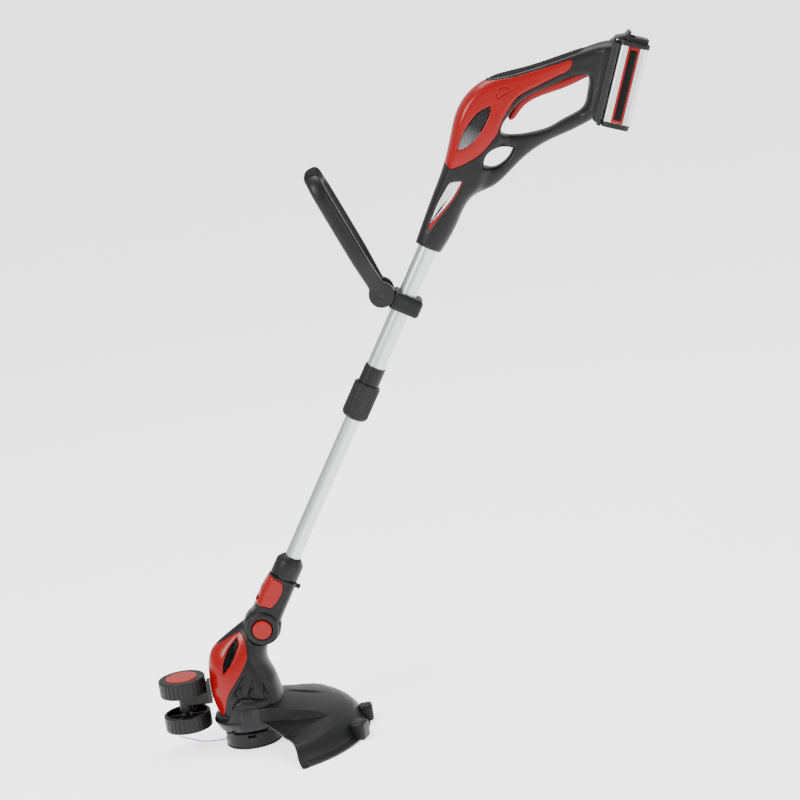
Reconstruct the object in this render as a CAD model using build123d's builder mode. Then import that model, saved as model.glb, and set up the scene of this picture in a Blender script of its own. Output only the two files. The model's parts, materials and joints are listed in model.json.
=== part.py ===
from build123d import *
from math import cos, radians, sin
import os

os.makedirs("parts", exist_ok=True)

# ---------------------------------------------------------------- driving dimensions (mm)
# Model frame: origin on the ground on the spool axis, +X to the rear, -Y left, +Z up.
shaft_lean = 32.0           # the shaft's angle from the spool axis
pivot_x, pivot_z = 44.0, 194.0
battery_tilt = 10.6         # the battery's axis is this much steeper than the shaft

upper_tube_r, upper_tube_wall = 15.0, 1.5
lower_tube_r, lower_tube_wall = 12.5, 1.5
lower_tube_foot, lower_tube_top = 66.0, 690.0
sleeve_s, sleeve_r = 436.0, 17.0
nut_s, nut_len, nut_r = 376.0, 59.5, 21.5
clearance = 0.5             # between pieces that pass each other
running = 0.05              # radial clearance of a running fit

spool_r, spool_top, spool_foot = 45.5, 28.0, 2.0
wheel_x, wheel_r, wheel_w = -102.0, 38.5, 27.0
wheel_upper_z, wheel_lower_z = 98.0, 39.0
guard_yaw, guard_half = -10.0, 56.0
line_r = 1.0

# ---------------------------------------------------------------- planes
lean = radians(shaft_lean)
shaft_dir = Vector(sin(lean), 0, cos(lean))
across_dir = Vector(cos(lean), 0, -sin(lean))
pivot = Vector(pivot_x, 0, pivot_z)
shaft = Plane(origin=pivot, x_dir=across_dir, z_dir=shaft_dir)          # z runs up the shaft
side = Plane(origin=pivot, x_dir=across_dir, z_dir=(0, -1, 0))          # x across, y up the shaft

batt_lean = radians(shaft_lean - battery_tilt)
batt_dir = Vector(sin(batt_lean), 0, cos(batt_lean))
batt_across = Vector(cos(batt_lean), 0, -sin(batt_lean))
batt_foot = side.from_local_coords(Vector(189, 973.5, 0))
batt = Plane(origin=batt_foot, x_dir=batt_across, z_dir=batt_dir)       # z runs up the battery
batt_side = Plane(origin=batt_foot, x_dir=batt_across, z_dir=(0, -1, 0))


def at(s):
    """The plane square to the shaft at a height s above the tilt pivot."""
    return shaft.offset(s)


def save(piece, name):
    """Label a finished piece and write its STEP file."""
    piece.part.label = name
    export_step(piece.part, f"parts/{name}.step")


# ---------------------------------------------------------------- tubes, sleeve, collet, nut
upper_tube_foot, upper_tube_top = 440.0, 790.0
with BuildPart() as upper_tube:
    with BuildSketch(at(upper_tube_foot)):
        Circle(upper_tube_r)
        Circle(upper_tube_r - upper_tube_wall, mode=Mode.SUBTRACT)
    extrude(amount=upper_tube_top - upper_tube_foot)
save(upper_tube, "upper_tube")

sleeve_len, spigot_foot, spigot_r = 31.0, 402.0, 16.5
with BuildPart() as tube_sleeve:
    with BuildSketch(at(sleeve_s)):
        Circle(sleeve_r)
    extrude(amount=sleeve_len)
    fillet(tube_sleeve.edges().filter_by(GeomType.CIRCLE), 1.0)
    with BuildSketch(at(spigot_foot)):
        Circle(spigot_r)
    extrude(amount=sleeve_s - spigot_foot)
    with BuildSketch(at(spigot_foot)):
        Circle(lower_tube_r + clearance)
    extrude(amount=upper_tube_foot - spigot_foot, mode=Mode.SUBTRACT)
    with BuildSketch(at(upper_tube_foot)):
        Circle(upper_tube_r)
    extrude(amount=sleeve_s + sleeve_len - upper_tube_foot, mode=Mode.SUBTRACT)
    for ring in range(6):                                   # shallow grip ribs
        with BuildSketch(at(sleeve_s + 4.0 + 4.0 * ring)):
            Circle(sleeve_r + 0.4)
            Circle(sleeve_r - 0.5, mode=Mode.SUBTRACT)
        extrude(amount=1.6)
save(tube_sleeve, "tube_sleeve")

with BuildPart() as collet:
    with BuildSketch(at(379.2)):
        Circle(16.2)
        Circle(lower_tube_r + running, mode=Mode.SUBTRACT)
        with Locations((0, -14.5)):
            Rectangle(2.0, 7.0, mode=Mode.SUBTRACT)
    extrude(amount=22.3)
save(collet, "collet")

nut_bore, nut_lip, nut_ribs = 16.9, 2.4, 28
with BuildPart() as lock_nut:
    with BuildSketch(at(nut_s)):
        Circle(nut_r - 1.0)
    extrude(amount=nut_len)
    chamfer(lock_nut.edges().sort_by(Axis(pivot, shaft_dir))[0], 3.0)
    with BuildSketch(at(nut_s + 6.0)):
        with PolarLocations(nut_r - 0.9, nut_ribs):
            Circle(1.3)
    extrude(amount=nut_len - 8.0)
    with BuildSketch(at(nut_s + nut_lip)):
        Circle(nut_bore)
    extrude(amount=nut_len - nut_lip, mode=Mode.SUBTRACT)
    with BuildSketch(at(nut_s)):
        Circle(lower_tube_r + 0.7)
    extrude(amount=nut_lip, mode=Mode.SUBTRACT)
save(lock_nut, "lock_nut")

with BuildPart() as lower_tube:
    with BuildSketch(at(lower_tube_foot)):
        Circle(lower_tube_r)
        Circle(lower_tube_r - lower_tube_wall, mode=Mode.SUBTRACT)
    extrude(amount=lower_tube_top - lower_tube_foot)
save(lower_tube, "lower_tube")

with BuildPart() as guide_bush:
    with BuildSketch(at(lower_tube_top - 35.0)):
        Circle(upper_tube_r - upper_tube_wall - running)
        Circle(lower_tube_r, mode=Mode.SUBTRACT)
    extrude(amount=35.0)
save(guide_bush, "guide_bush")

with BuildPart() as power_lead:
    with BuildSketch(at(130.0)):
        Circle(3.0)
    extrude(amount=760.0)
save(power_lead, "power_lead")

# ---------------------------------------------------------------- neck
cap_foot, cap_shoulder, cap_top, cap_r = 88.0, 116.0, 125.0, 23.0
with BuildPart() as neck_cap:
    with BuildSketch(side):
        with BuildLine():
            Polyline(
                (lower_tube_r, cap_foot),
                (cap_r, cap_foot),
                (cap_r, cap_shoulder),
                (lower_tube_r + 1.5, cap_top),
                (lower_tube_r, cap_top),
                close=True,
            )
        make_face()
    revolve(axis=Axis(pivot, shaft_dir))
save(neck_cap, "neck_cap")

neck_top, neck_r = 87.5, 22.5
cheek_r, cheek_in, cheek_out = 27.5, 18.4, 30.0
knuckle_r = 31.0
button_hole_r = 16.4
with BuildPart() as neck_body:
    with BuildSketch(at(25.0)):
        RectangleRounded(2 * neck_r + 2, 2 * neck_r + 6, 10.0)
    with BuildSketch(at(neck_top)):
        RectangleRounded(2 * neck_r, 2 * neck_r, 20.0)
    loft()
    with BuildSketch(side.offset(cheek_in)):                # left cheek
        Circle(cheek_r)
        with Locations((0.5, 24.0)):
            Rectangle(46.0, 36.0)
    extrude(amount=cheek_out - cheek_in)
    with BuildSketch(side.offset(-cheek_out)):              # right cheek
        Circle(cheek_r)
        with Locations((0.5, 24.0)):
            Rectangle(46.0, 36.0)
    extrude(amount=cheek_out - cheek_in)
    with BuildSketch(side.offset(-cheek_in)):               # room for the head's knuckle
        Circle(knuckle_r + 0.7)
    extrude(amount=2 * cheek_in, mode=Mode.SUBTRACT)
    with BuildSketch(side.offset(-cheek_out)):              # pivot bore for the two buttons
        Circle(button_hole_r)
    extrude(amount=2 * cheek_out, mode=Mode.SUBTRACT)
    with BuildSketch(at(lower_tube_foot - 2.0)):            # socket for the lower tube
        Circle(lower_tube_r + running)
    extrude(amount=40.0, mode=Mode.SUBTRACT)
    with BuildSketch(at(28.0)):                             # wiring room under the socket
        Circle(8.0)
    extrude(amount=60.0, mode=Mode.SUBTRACT)
    with BuildSketch(side.offset(14.0)):                    # pocket for the release button's travel
        with Locations((-12.5, 60.0)):
            Rectangle(30.0, 58.0)
    extrude(amount=24.0, mode=Mode.SUBTRACT)
with BuildPart() as neck_shell_left:
    add(neck_body.part)
    split(bisect_by=Plane.XZ, keep=Keep.TOP)
save(neck_shell_left, "neck_shell_left")
with BuildPart() as neck_shell_right:
    add(neck_body.part)
    split(bisect_by=Plane.XZ, keep=Keep.BOTTOM)
save(neck_shell_right, "neck_shell_right")

with BuildPart() as rotation_button:
    with BuildSketch(side.offset(18.0)):
        with BuildLine():
            Polyline((-26.5, 88.0), (0.5, 84.0), (0.5, 36.0), (-22.0, 32.0), (-26.5, 54.0), close=True)
        make_face()
    extrude(amount=9.0)
    fillet(rotation_button.edges().group_by(Axis.Y)[0], 3.0)
save(rotation_button, "rotation_button")

with BuildPart() as index_knob:
    with BuildSketch(Plane(origin=side.from_local_coords((23.2, 82.5, 0)), x_dir=(0, 1, 0), z_dir=across_dir)):
        Circle(4.0)
    extrude(amount=8.0)
    fillet(index_knob.edges().sort_by(Axis(pivot, across_dir))[-1], 1.5)
save(index_knob, "index_knob")

# ---------------------------------------------------------------- head
head_foot, head_base_top, head_base_r = 34.0, 70.0, 48.0
with BuildPart() as head_body:
    with BuildSketch(Plane.XZ.offset(-45.0)):               # side outline
        with BuildLine():
            Spline((61, 69), (56, 90), (48, 122), (44, 140))
            Line((44, 140), (44, 175))
            Line((44, 175), (16, 196))
            Spline((16, 196), (-17, 184), (-37, 172), (-53, 149), (-56, 115), (-53, 69))
            Line((-53, 69), (61, 69))
        make_face()
    extrude(amount=90.0)
    with BuildSketch(Plane.YZ.offset(-70.0)):               # front outline
        with BuildLine():
            Spline((43, 66), (40, 100), (33, 145), (25, 200))
            Line((25, 200), (-25, 200))
            Spline((-25, 200), (-33, 145), (-40, 100), (-43, 66))
            Line((-43, 66), (43, 66))
        make_face()
    extrude(amount=140.0, mode=Mode.INTERSECT)
    with BuildSketch(Plane.XY.offset(head_foot)):
        Circle(head_base_r)
    extrude(amount=head_base_top - head_foot)
    for face in (cheek_in - 0.6, -60.0):                    # room for the neck's cheeks
        with BuildSketch(side.offset(face)):
            Circle(cheek_r + 0.9)
        extrude(amount=60.0 - cheek_in + 0.6, mode=Mode.SUBTRACT)
    with BuildSketch(side.offset(-cheek_in + 0.6)):         # knuckle between the cheeks
        Circle(knuckle_r)
    extrude(amount=2 * cheek_in - 1.2)
    with BuildSketch(side.offset(-40.0)):                   # bore for the tilt bolt
        Circle(7.0)
    extrude(amount=80.0, mode=Mode.SUBTRACT)
    with BuildSketch(Plane.XY.offset(head_foot + 4.0)):     # motor room
        Circle(26.0)
    extrude(amount=95.0, mode=Mode.SUBTRACT)
    with BuildSketch(Plane.XY.offset(head_foot)):           # hole for the motor shaft
        Circle(9.0)
    extrude(amount=6.0, mode=Mode.SUBTRACT)
    with BuildSketch(Plane.XY.offset(135.0)):               # wiring way up to the knuckle
        with Locations((14, 0)):
            Circle(9.0)
    extrude(amount=42.0, mode=Mode.SUBTRACT)

with BuildPart() as cover_core:                            # what the red cover wraps around
    with BuildSketch(Plane.XZ.offset(-45.0)):
        with BuildLine():
            Line((70, 50), (70, 210))
            Line((70, 210), (6, 188))
            Spline((6, 188), (-15, 180), (-34, 168), (-49, 147), (-52, 115), (-49, 50))
            Line((-49, 50), (70, 50))
        make_face()
    extrude(amount=90.0)
    with BuildSketch(Plane.YZ.offset(-70.0)):
        with BuildLine():
            Spline((40, 50), (36.5, 100), (29.5, 145), (20.5, 210))
            Line((20.5, 210), (-20.5, 210))
            Spline((-20.5, 210), (-29.5, 145), (-36.5, 100), (-40, 50))
            Line((-40, 50), (40, 50))
        make_face()
    extrude(amount=150.0, mode=Mode.INTERSECT)

with BuildPart() as cover_zone:
    with BuildSketch(Plane.XZ.offset(-60.0)):               # side outline of the red cover
        with BuildLine():
            Spline((-12, 199), (7, 195), (12, 172), (12, 146), (-6, 122), (-26, 96), (-36, 67))
            Line((-36, 67), (-70, 67))
            Line((-70, 67), (-70, 199))
            Line((-70, 199), (-12, 199))
        make_face()
    extrude(amount=120.0)
    add(cover_core.part, mode=Mode.SUBTRACT)

with BuildPart() as vent_zone:
    with BuildSketch(Plane.XZ.offset(-60.0)):
        with BuildLine():
            Spline((0, 184), (-4, 166), (-16, 145), (-32, 129))
            Spline((-32, 129), (-29, 148), (-17, 169), (0, 184))
        make_face()
    extrude(amount=40.0)
    mirror(about=Plane.XZ)

with BuildPart() as head_cover:
    add(head_body.part)
    add(cover_zone.part, mode=Mode.INTERSECT)
    add(vent_zone.part, mode=Mode.SUBTRACT)
save(head_cover, "head_cover")

with BuildPart() as head_vent_grilles:
    add(head_body.part)
    add(cover_zone.part, mode=Mode.INTERSECT)
    add(vent_zone.part, mode=Mode.INTERSECT)
    with BuildSketch(Plane.YZ.offset(-70.0)):               # keep it below the cover's surface
        with BuildLine():
            Spline((38.5, 100), (31.5, 145), (22.5, 210))
            Line((22.5, 210), (-22.5, 210))
            Spline((-22.5, 210), (-31.5, 145), (-38.5, 100))
            Line((-38.5, 100), (38.5, 100))
        make_face()
    extrude(amount=150.0, mode=Mode.INTERSECT)
save(head_vent_grilles, "head_vent_grilles")

with BuildPart() as head_case:
    add(head_body.part)
    add(cover_zone.part, mode=Mode.SUBTRACT)
with BuildPart() as head_shell_left:
    add(head_case.part)
    split(bisect_by=Plane.XZ, keep=Keep.TOP)
save(head_shell_left, "head_shell_left")
with BuildPart() as head_shell_right:
    add(head_case.part)
    split(bisect_by=Plane.XZ, keep=Keep.BOTTOM)
save(head_shell_right, "head_shell_right")

motor_r, motor_foot, motor_top = 21.0, 56.0, 116.0
motor_shaft_r, motor_shaft_foot = 2.5, 11.5
with BuildPart() as motor:
    with BuildSketch(Plane.XY.offset(motor_foot)):
        Circle(motor_r)
    extrude(amount=motor_top - motor_foot)
    chamfer(motor.edges().filter_by(GeomType.CIRCLE), 2.0)
    with BuildSketch(Plane.XY.offset(motor_shaft_foot)):
        Circle(motor_shaft_r)
    extrude(amount=motor_foot - motor_shaft_foot)
    with BuildSketch(Plane.XY.offset(motor_top)):
        Circle(6.0)
    extrude(amount=5.0)
save(motor, "motor")

with BuildPart() as motor_mount:
    with BuildSketch(Plane.XY.offset(52.0)):
        Circle(25.8)
        Circle(8.0, mode=Mode.SUBTRACT)
        with PolarLocations(16.0, 4):
            Circle(1.7, mode=Mode.SUBTRACT)
    extrude(amount=4.0)
save(motor_mount, "motor_mount")

with BuildPart() as tilt_bolt:
    with BuildSketch(side.offset(-24.0)):
        Circle(6.9)
    extrude(amount=40.0)
    with BuildSketch(side.offset(-27.0)):
        Circle(12.0)
    extrude(amount=8.0)
save(tilt_bolt, "tilt_bolt")

with BuildPart() as tilt_button:
    with BuildSketch(side.offset(21.5)):
        Circle(button_hole_r - 0.4)
    extrude(amount=11.5)
    fillet(tilt_button.edges().sort_by(Axis.Y)[0], 2.0)
save(tilt_button, "tilt_button")

# ---------------------------------------------------------------- guard
guard_rim_r = 190.0
collar_r, collar_bore, collar_foot, collar_top = 57.0, 48.3, 33.0, 66.0
with BuildPart() as guard:
    with BuildSketch(Plane.XZ):                             # dome profile, outer then inner line
        with BuildLine():
            Spline((52, 68), (100, 61), (140, 51), (167, 37), (182, 16), (guard_rim_r, 3))
            Line((guard_rim_r, 3), (guard_rim_r - 4, 2))
            Spline((guard_rim_r - 4, 2), (178.5, 15), (164, 34.5), (139, 48), (99, 58), (52, 65))
            Line((52, 65), (52, 68))
        make_face()
    revolve(axis=Axis.Z, revolution_arc=2 * guard_half)
    guard_sector = guard.part.rotate(Axis.Z, 0)
with BuildPart() as guard:
    add(guard_sector.rotate(Axis.Z, guard_yaw - guard_half))
    with BuildSketch(Plane.XY.offset(collar_foot)):
        Circle(collar_r)
        Circle(collar_bore, mode=Mode.SUBTRACT)
    extrude(amount=collar_top - collar_foot)
    for lug_angle in (guard_yaw - 14.0, guard_yaw + 14.0):
        with BuildSketch(Plane.XY.offset(3.0)):
            with Locations(Location((0, 0, 0), (0, 0, lug_angle))):
                with Locations((guard_rim_r - 4, 0)):
                    Rectangle(16.0, 20.0)
        extrude(amount=20.0)
save(guard, "guard")

cutter_angle = guard_yaw + guard_half - 4.0
with BuildPart() as line_cutter:
    with BuildSketch(Plane.XY.offset(12.0)):
        with Locations(Location((0, 0, 0), (0, 0, cutter_angle))):
            with Locations((150.0, 0)):
                Rectangle(16.0, 1.5)
    extrude(amount=26.5)
save(line_cutter, "line_cutter")

with BuildPart() as guard_screws:
    for angle in (55.0, 125.0, 235.0, 305.0):
        with BuildSketch(Plane.XY.offset(29.5)):
            with Locations(Location((0, 0, 0), (0, 0, angle))):
                with Locations((52.5, 0)):
                    Circle(3.4)
        extrude(amount=collar_foot - 29.5)
save(guard_screws, "guard_screws")

# ---------------------------------------------------------------- spool, bump knob and line
housing_wall = 2.4
hub_r = 9.0
with BuildPart() as spool_housing:
    with BuildSketch(Plane.XZ):
        with BuildLine():
            Polyline(
                (motor_shaft_r + running, spool_top),
                (spool_r - 2.0, spool_top),
                (spool_r, spool_top - 2.0),
                (spool_r, 5.0),
                (spool_r + 1.0, 4.0),
                (spool_r + 1.0, spool_foot),
                (26.0, spool_foot),
                (26.0, spool_foot + housing_wall),
                (spool_r - housing_wall, spool_foot + housing_wall),
                (spool_r - housing_wall, spool_top - housing_wall),
                (hub_r, spool_top - housing_wall),
                (hub_r, 15.0),
                (motor_shaft_r + running, 15.0),
                close=True,
            )
        make_face()
    revolve(axis=Axis.Z)
    with BuildSketch(Plane.XY.offset(6.5)):                 # the window that the line leaves by
        with Locations((-spool_r, 0)):
            Rectangle(12.0, 9.0)
    extrude(amount=9.0, mode=Mode.SUBTRACT)
    with BuildSketch(Plane.XY.offset(spool_top - 8.0)):     # two latch windows near the top
        with PolarLocations(spool_r, 2, start_angle=90):
            Rectangle(8.0, 14.0)
    extrude(amount=5.0, mode=Mode.SUBTRACT)
save(spool_housing, "spool_housing")

eyelet_z = 10.0
with BuildPart() as eyelets:
    with BuildSketch(Plane(origin=(-spool_r - 1.5, 0, eyelet_z), x_dir=(0, 1, 0), z_dir=(1, 0, 0))):
        Circle(3.2)
        Circle(line_r + 0.4, mode=Mode.SUBTRACT)
    extrude(amount=4.5)
save(eyelets, "eyelets")

# The reel sits on the bump knob and rises with it, so its top stays the travel below the housing's roof.
reel_r, wound_r = 30.0, 28.0
reel_foot, reel_top, reel_flange = 6.0, 19.5, 2.0
with BuildPart() as line_reel:
    with BuildSketch(Plane.XZ):
        with BuildLine():
            Polyline(
                (hub_r + 0.5, reel_foot),
                (reel_r, reel_foot),
                (reel_r, reel_foot + reel_flange),
                (wound_r, reel_foot + reel_flange),
                (wound_r, reel_top - reel_flange),
                (reel_r, reel_top - reel_flange),
                (reel_r, reel_top),
                (hub_r + 0.5, reel_top),
                close=True,
            )
        make_face()
    revolve(axis=Axis.Z)
save(line_reel, "line_reel")

with BuildPart() as bump_knob:
    with BuildSketch(Plane.XZ):
        with BuildLine():
            Line((0, 0), (15, 0))
            TangentArc((15, 0), (23, 5.4), tangent=(1, 0))
            Line((23, 5.4), (0, 5.4))
            Line((0, 5.4), (0, 0))
        make_face()
    revolve(axis=Axis.Z)
save(bump_knob, "bump_knob")

with BuildPart() as spool_spring:
    for turn in range(2):
        with BuildSketch(Plane.XZ):
            with Locations((6.5, 10.6 + 2.6 * turn)):
                Circle(0.7)
        revolve(axis=Axis.Z)
save(spool_spring, "spool_spring")

line_route = [(-44, 0, 10), (-68, -1, 9), (-86, -4, 13), (-103, -8, 21), (-118, -14, 30)]


def cord_radii(points):
    """The radius of each arc: 0.45 of the shorter run over the tangent of half the turn."""
    spots = [Vector(*p) for p in points]
    radii = []
    for a, b, c in zip(spots, spots[1:], spots[2:]):
        half_turn = radians((b - a).get_angle(c - b) / 2)
        radii.append(0.45 * min((b - a).length, (c - b).length) * cos(half_turn) / sin(half_turn))
    return radii


line_radii = cord_radii(line_route)
print("line radii", [round(r) for r in line_radii])
with BuildPart() as cutting_line:
    with BuildLine() as line_path:
        FilletPolyline(*line_route, radius=line_radii)
    with BuildSketch(Plane(origin=line_path.line @ 0, z_dir=line_path.line % 0)):
        Circle(line_r)
    sweep()
line_length = sum(edge.length for edge in line_path.edges())
print("line length", round(line_length, 1), "volume ratio",
      round(cutting_line.part.volume / (3.14159 * line_r**2 * line_length), 4))
save(cutting_line, "cutting_line")

# ---------------------------------------------------------------- edge wheels
axle_r = 4.0
post_r = 10.5
with BuildPart() as wheel_arm:
    with BuildSketch(Plane.XY.offset(wheel_lower_z + wheel_w + 0.7)):
        with Locations((wheel_x, 0)):
            Circle(post_r)
    extrude(amount=wheel_upper_z - wheel_lower_z - wheel_w - 1.4)
    with BuildSketch(Plane.XY.offset(76.0)):
        with Locations(((wheel_x - 57.5) / 2, 0)):
            Rectangle(-57.5 - wheel_x, 20.0)
    extrude(amount=20.5)
    with BuildSketch(Plane.XZ.offset(-14.0)):
        with BuildLine():
            Polyline((-63.0, 80.0), (-57.2, 80.0), (-57.8, 113.0), (-63.0, 113.0), close=True)
        make_face()
    extrude(amount=28.0)
    with BuildSketch(Plane.XY.offset(wheel_lower_z + 4.0)):
        with Locations((wheel_x, 0)):
            Circle(axle_r)
    extrude(amount=wheel_upper_z + wheel_w - wheel_lower_z - 8.0)
    chamfer(wheel_arm.edges().filter_by(Axis.X).group_by(Axis.Z)[0], 3.0)
save(wheel_arm, "wheel_arm")


def make_wheel(z_inner, out, name):
    """A cup-shaped wheel: open towards the arm, closed on its outer side (out is +1 up, -1 down)."""
    disc = Plane(origin=(wheel_x, 0, z_inner), x_dir=(1, 0, 0), z_dir=(0, 0, out))
    with BuildPart() as wheel:
        with BuildSketch(disc):
            Circle(wheel_r)
        extrude(amount=wheel_w)
        fillet(wheel.edges().filter_by(GeomType.CIRCLE), 2.5)
        with BuildSketch(disc):
            Circle(wheel_r - 5.0)
        extrude(amount=wheel_w - 7.0, mode=Mode.SUBTRACT)
        with BuildSketch(disc.offset(4.0)):
            Circle(9.0)
            with PolarLocations(0, 6):
                with Locations((wheel_r / 2, 0)):
                    Rectangle(wheel_r - 9.0, 2.0)
        extrude(amount=wheel_w - 9.0)
        with BuildSketch(disc):
            Circle(axle_r + running)
        extrude(amount=wheel_w - 3.5, mode=Mode.SUBTRACT)
        with BuildSketch(disc.offset(wheel_w - 3.0)):       # seat for the hub cap
            Circle(26.4)
        extrude(amount=3.0, mode=Mode.SUBTRACT)
        with BuildSketch(disc.offset(3.0)):                 # tread grooves
            with PolarLocations(wheel_r, 30):
                Rectangle(1.6, 1.6)
        extrude(amount=wheel_w - 6.0, mode=Mode.SUBTRACT)
    save(wheel, name)
    with BuildPart() as cap:
        with BuildSketch(disc.offset(wheel_w - 3.0)):
            Circle(26.0)
        extrude(amount=4.2)
        fillet(cap.edges().group_by(Axis.Z)[-1 if out > 0 else 0], 1.6)
    save(cap, name.replace("wheel", "wheel_cap"))


make_wheel(wheel_upper_z, 1, "wheel_upper")
make_wheel(wheel_lower_z + wheel_w, -1, "wheel_lower")

# ---------------------------------------------------------------- main handle
# Outlines are drawn in the shaft's side plane: x across the shaft (rearwards), y up the shaft.
sleeve_foot = 676.0
dock_front = -35.5                                          # the dock's front face, in the battery's frame
dock_rear = -24.2
dock_foot, dock_top = -4.0, 122.0


def in_batt(x, z):
    """A point of the battery's own frame, given in the shaft's side plane."""
    tilt = radians(battery_tilt)
    return (189 + x * cos(tilt) - z * sin(tilt), 973.5 + x * sin(tilt) + z * cos(tilt))


dock_low = in_batt(dock_front, dock_foot)
dock_high = in_batt(dock_front, dock_top)
with BuildSketch(side) as handle_outline:
    with BuildLine():
        Line((-21.5, sleeve_foot), (21.5, sleeve_foot))
        Spline((21.5, sleeve_foot), (27, 727), (33, 779), (56, 807), (66, 827), (81, 866), (108, 908),
               (131, 933), dock_low)
        Line(dock_low, dock_high)
        Spline(dock_high, (119, 1079), (103, 1065), (86, 1050), (24, 995), (-23, 955), (-40, 925),
               (-45, 890), (-39, 853), (-30, 805), (-27, 760), (-21.5, sleeve_foot))
    make_face()

with BuildSketch(side) as hand_opening:
    with BuildLine():
        Spline((31, 913), (29, 900), (34, 888), (46, 890), (83, 912), (99, 926), (113, 945), (128, 964),
               (134, 976), (131, 997), (124, 1018), (120, 1024))
        Spline((120, 1024), (110, 1019), (73, 985), (49, 959), (38, 940), (31, 913))
    make_face()
with BuildSketch(side) as small_opening:
    with BuildLine():
        Spline((28, 829), (25, 845), (31, 859), (46, 870), (59, 874))
        Spline((59, 874), (59, 862), (53, 845), (42, 833), (28, 829))
    make_face()

with BuildSketch(side) as main_outline:                     # sleeve, bulge and grip, without the strut
    with BuildLine():
        Line((-21.5, sleeve_foot), (21.5, sleeve_foot))
        Spline((21.5, sleeve_foot), (26, 727), (28, 790), (28, 845), (36, 900), (46, 936), (60, 957),
               (84, 982), (126, 1016))
        Line((126, 1016), dock_high)
        Spline(dock_high, (119, 1079), (103, 1065), (86, 1050), (24, 995), (-23, 955), (-40, 925),
               (-45, 890), (-39, 853), (-30, 805), (-27, 760), (-21.5, sleeve_foot))
    make_face()

shell_wall = 3.0
widths = [(sleeve_foot, 21.5), (760, 22), (820, 25.5), (890, 27), (950, 23), (1000, 19), (1045, 19),
          (1075, 23), (1095, 26)]


def width_face(shrink):
    """The handle's outline seen from behind: its half width at each height up the shaft."""
    with BuildSketch(Plane(origin=pivot, x_dir=(0, 1, 0), z_dir=across_dir)) as face:
        with BuildLine():
            right = Spline(*[(w - shrink, s) for s, w in widths])
            left = Spline(*[(shrink - w, s) for s, w in widths])
            Line(right @ 0, left @ 0)
            Line(right @ 1, left @ 1)
        make_face()
    return face.sketch


outer_widths = width_face(0)
inner_widths = width_face(shell_wall)
with BuildPart() as handle_core:                            # the hollow inside the main body
    with BuildSketch(side):
        with BuildLine():
            Line((-15, 770), (20, 770))
            Spline((20, 770), (22, 845), (25, 900), (34, 943), (47, 963), (71, 990), (108, 1025), (118, 1034))
            Line((118, 1034), (122, 1076))
            Spline((122, 1076), (86, 1045), (26, 992), (-20, 952), (-35, 925), (-40, 890), (-34, 853),
                   (-25, 805), (-15, 770))
        make_face()
    extrude(amount=30, both=True)
    add(extrude(inner_widths, amount=260, both=True, mode=Mode.PRIVATE), mode=Mode.INTERSECT)

strut_half, post_half = 15.0, 24.0
with BuildPart() as handle_body:
    add(extrude(main_outline.sketch, amount=30, both=True, mode=Mode.PRIVATE))
    add(extrude(outer_widths, amount=260, both=True, mode=Mode.PRIVATE), mode=Mode.INTERSECT)
    add(extrude(handle_outline.sketch, amount=strut_half, both=True, mode=Mode.PRIVATE))
    with BuildSketch(side):                                 # flared post in front of the dock
        with BuildLine():
            Polyline(in_batt(dock_front, dock_foot), in_batt(dock_front, dock_top),
                     in_batt(dock_front - 8, dock_top - 4), in_batt(dock_front - 8, dock_foot + 6), close=True)
        make_face()
    extrude(amount=post_half, both=True)
    add(extrude(hand_opening.sketch, amount=40, both=True, mode=Mode.PRIVATE), mode=Mode.SUBTRACT)
    add(extrude(small_opening.sketch, amount=40, both=True, mode=Mode.PRIVATE), mode=Mode.SUBTRACT)
    add(handle_core.part, mode=Mode.SUBTRACT)
    with BuildSketch(at(sleeve_foot)):                      # bore for the upper tube
        Circle(upper_tube_r)
    extrude(amount=upper_tube_top - sleeve_foot, mode=Mode.SUBTRACT)

# red side panels, let into the shells
with BuildSketch(side) as panel_outline:
    with BuildLine():
        Spline((-25, 955), (-9, 964), (16, 980), (43, 1001), (85, 1036))
        Spline((85, 1036), (88, 1024), (77, 1005), (61, 986), (43, 965), (33, 951), (27, 931), (25, 912),
               (26, 892), (24, 876), (15, 846), (-11, 812), (-21, 806), (-29, 810))
        Spline((-29, 810), (-33, 830), (-41, 860), (-46, 888), (-41, 925), (-25, 955))
    make_face()
with BuildSketch(side) as lens_outline:
    with BuildLine():
        Spline((-1, 922), (3, 905), (-3, 862), (-10, 847), (-20, 838))
        Spline((-20, 838), (-23, 872), (-14, 905), (-1, 922))
    make_face()
with BuildSketch(side) as button_outline:
    with BuildLine():
        Line((5.0, 937.5), (16.8, 954.7))
        ThreePointArc((16.8, 954.7), (1.6, 952.5), (5.0, 937.5))
    make_face()

with BuildPart() as panel_zone:                             # the outer skin that a panel takes up
    add(extrude(panel_outline.sketch, amount=40, both=True, mode=Mode.PRIVATE))
    add(extrude(width_face(2.6), amount=260, both=True, mode=Mode.PRIVATE), mode=Mode.SUBTRACT)
with BuildPart() as lens_zone:
    add(extrude(lens_outline.sketch, amount=40, both=True, mode=Mode.PRIVATE))
with BuildPart() as panels:
    add(handle_body.part)
    add(panel_zone.part, mode=Mode.INTERSECT)
    add(lens_zone.part, mode=Mode.SUBTRACT)
with BuildPart() as side_panel_left:
    add(panels.part)
    split(bisect_by=Plane.XZ, keep=Keep.TOP)
    add(extrude(button_outline.sketch, amount=40, mode=Mode.PRIVATE), mode=Mode.SUBTRACT)
save(side_panel_left, "side_panel_left")
with BuildPart() as side_panel_right:
    add(panels.part)
    split(bisect_by=Plane.XZ, keep=Keep.BOTTOM)
save(side_panel_right, "side_panel_right")

with BuildPart() as handle_vent_grilles:
    add(handle_body.part)
    add(panel_zone.part, mode=Mode.INTERSECT)
    add(lens_zone.part, mode=Mode.INTERSECT)
    add(extrude(width_face(0.8), amount=260, both=True, mode=Mode.PRIVATE), mode=Mode.INTERSECT)
save(handle_vent_grilles, "handle_vent_grilles")

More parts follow.
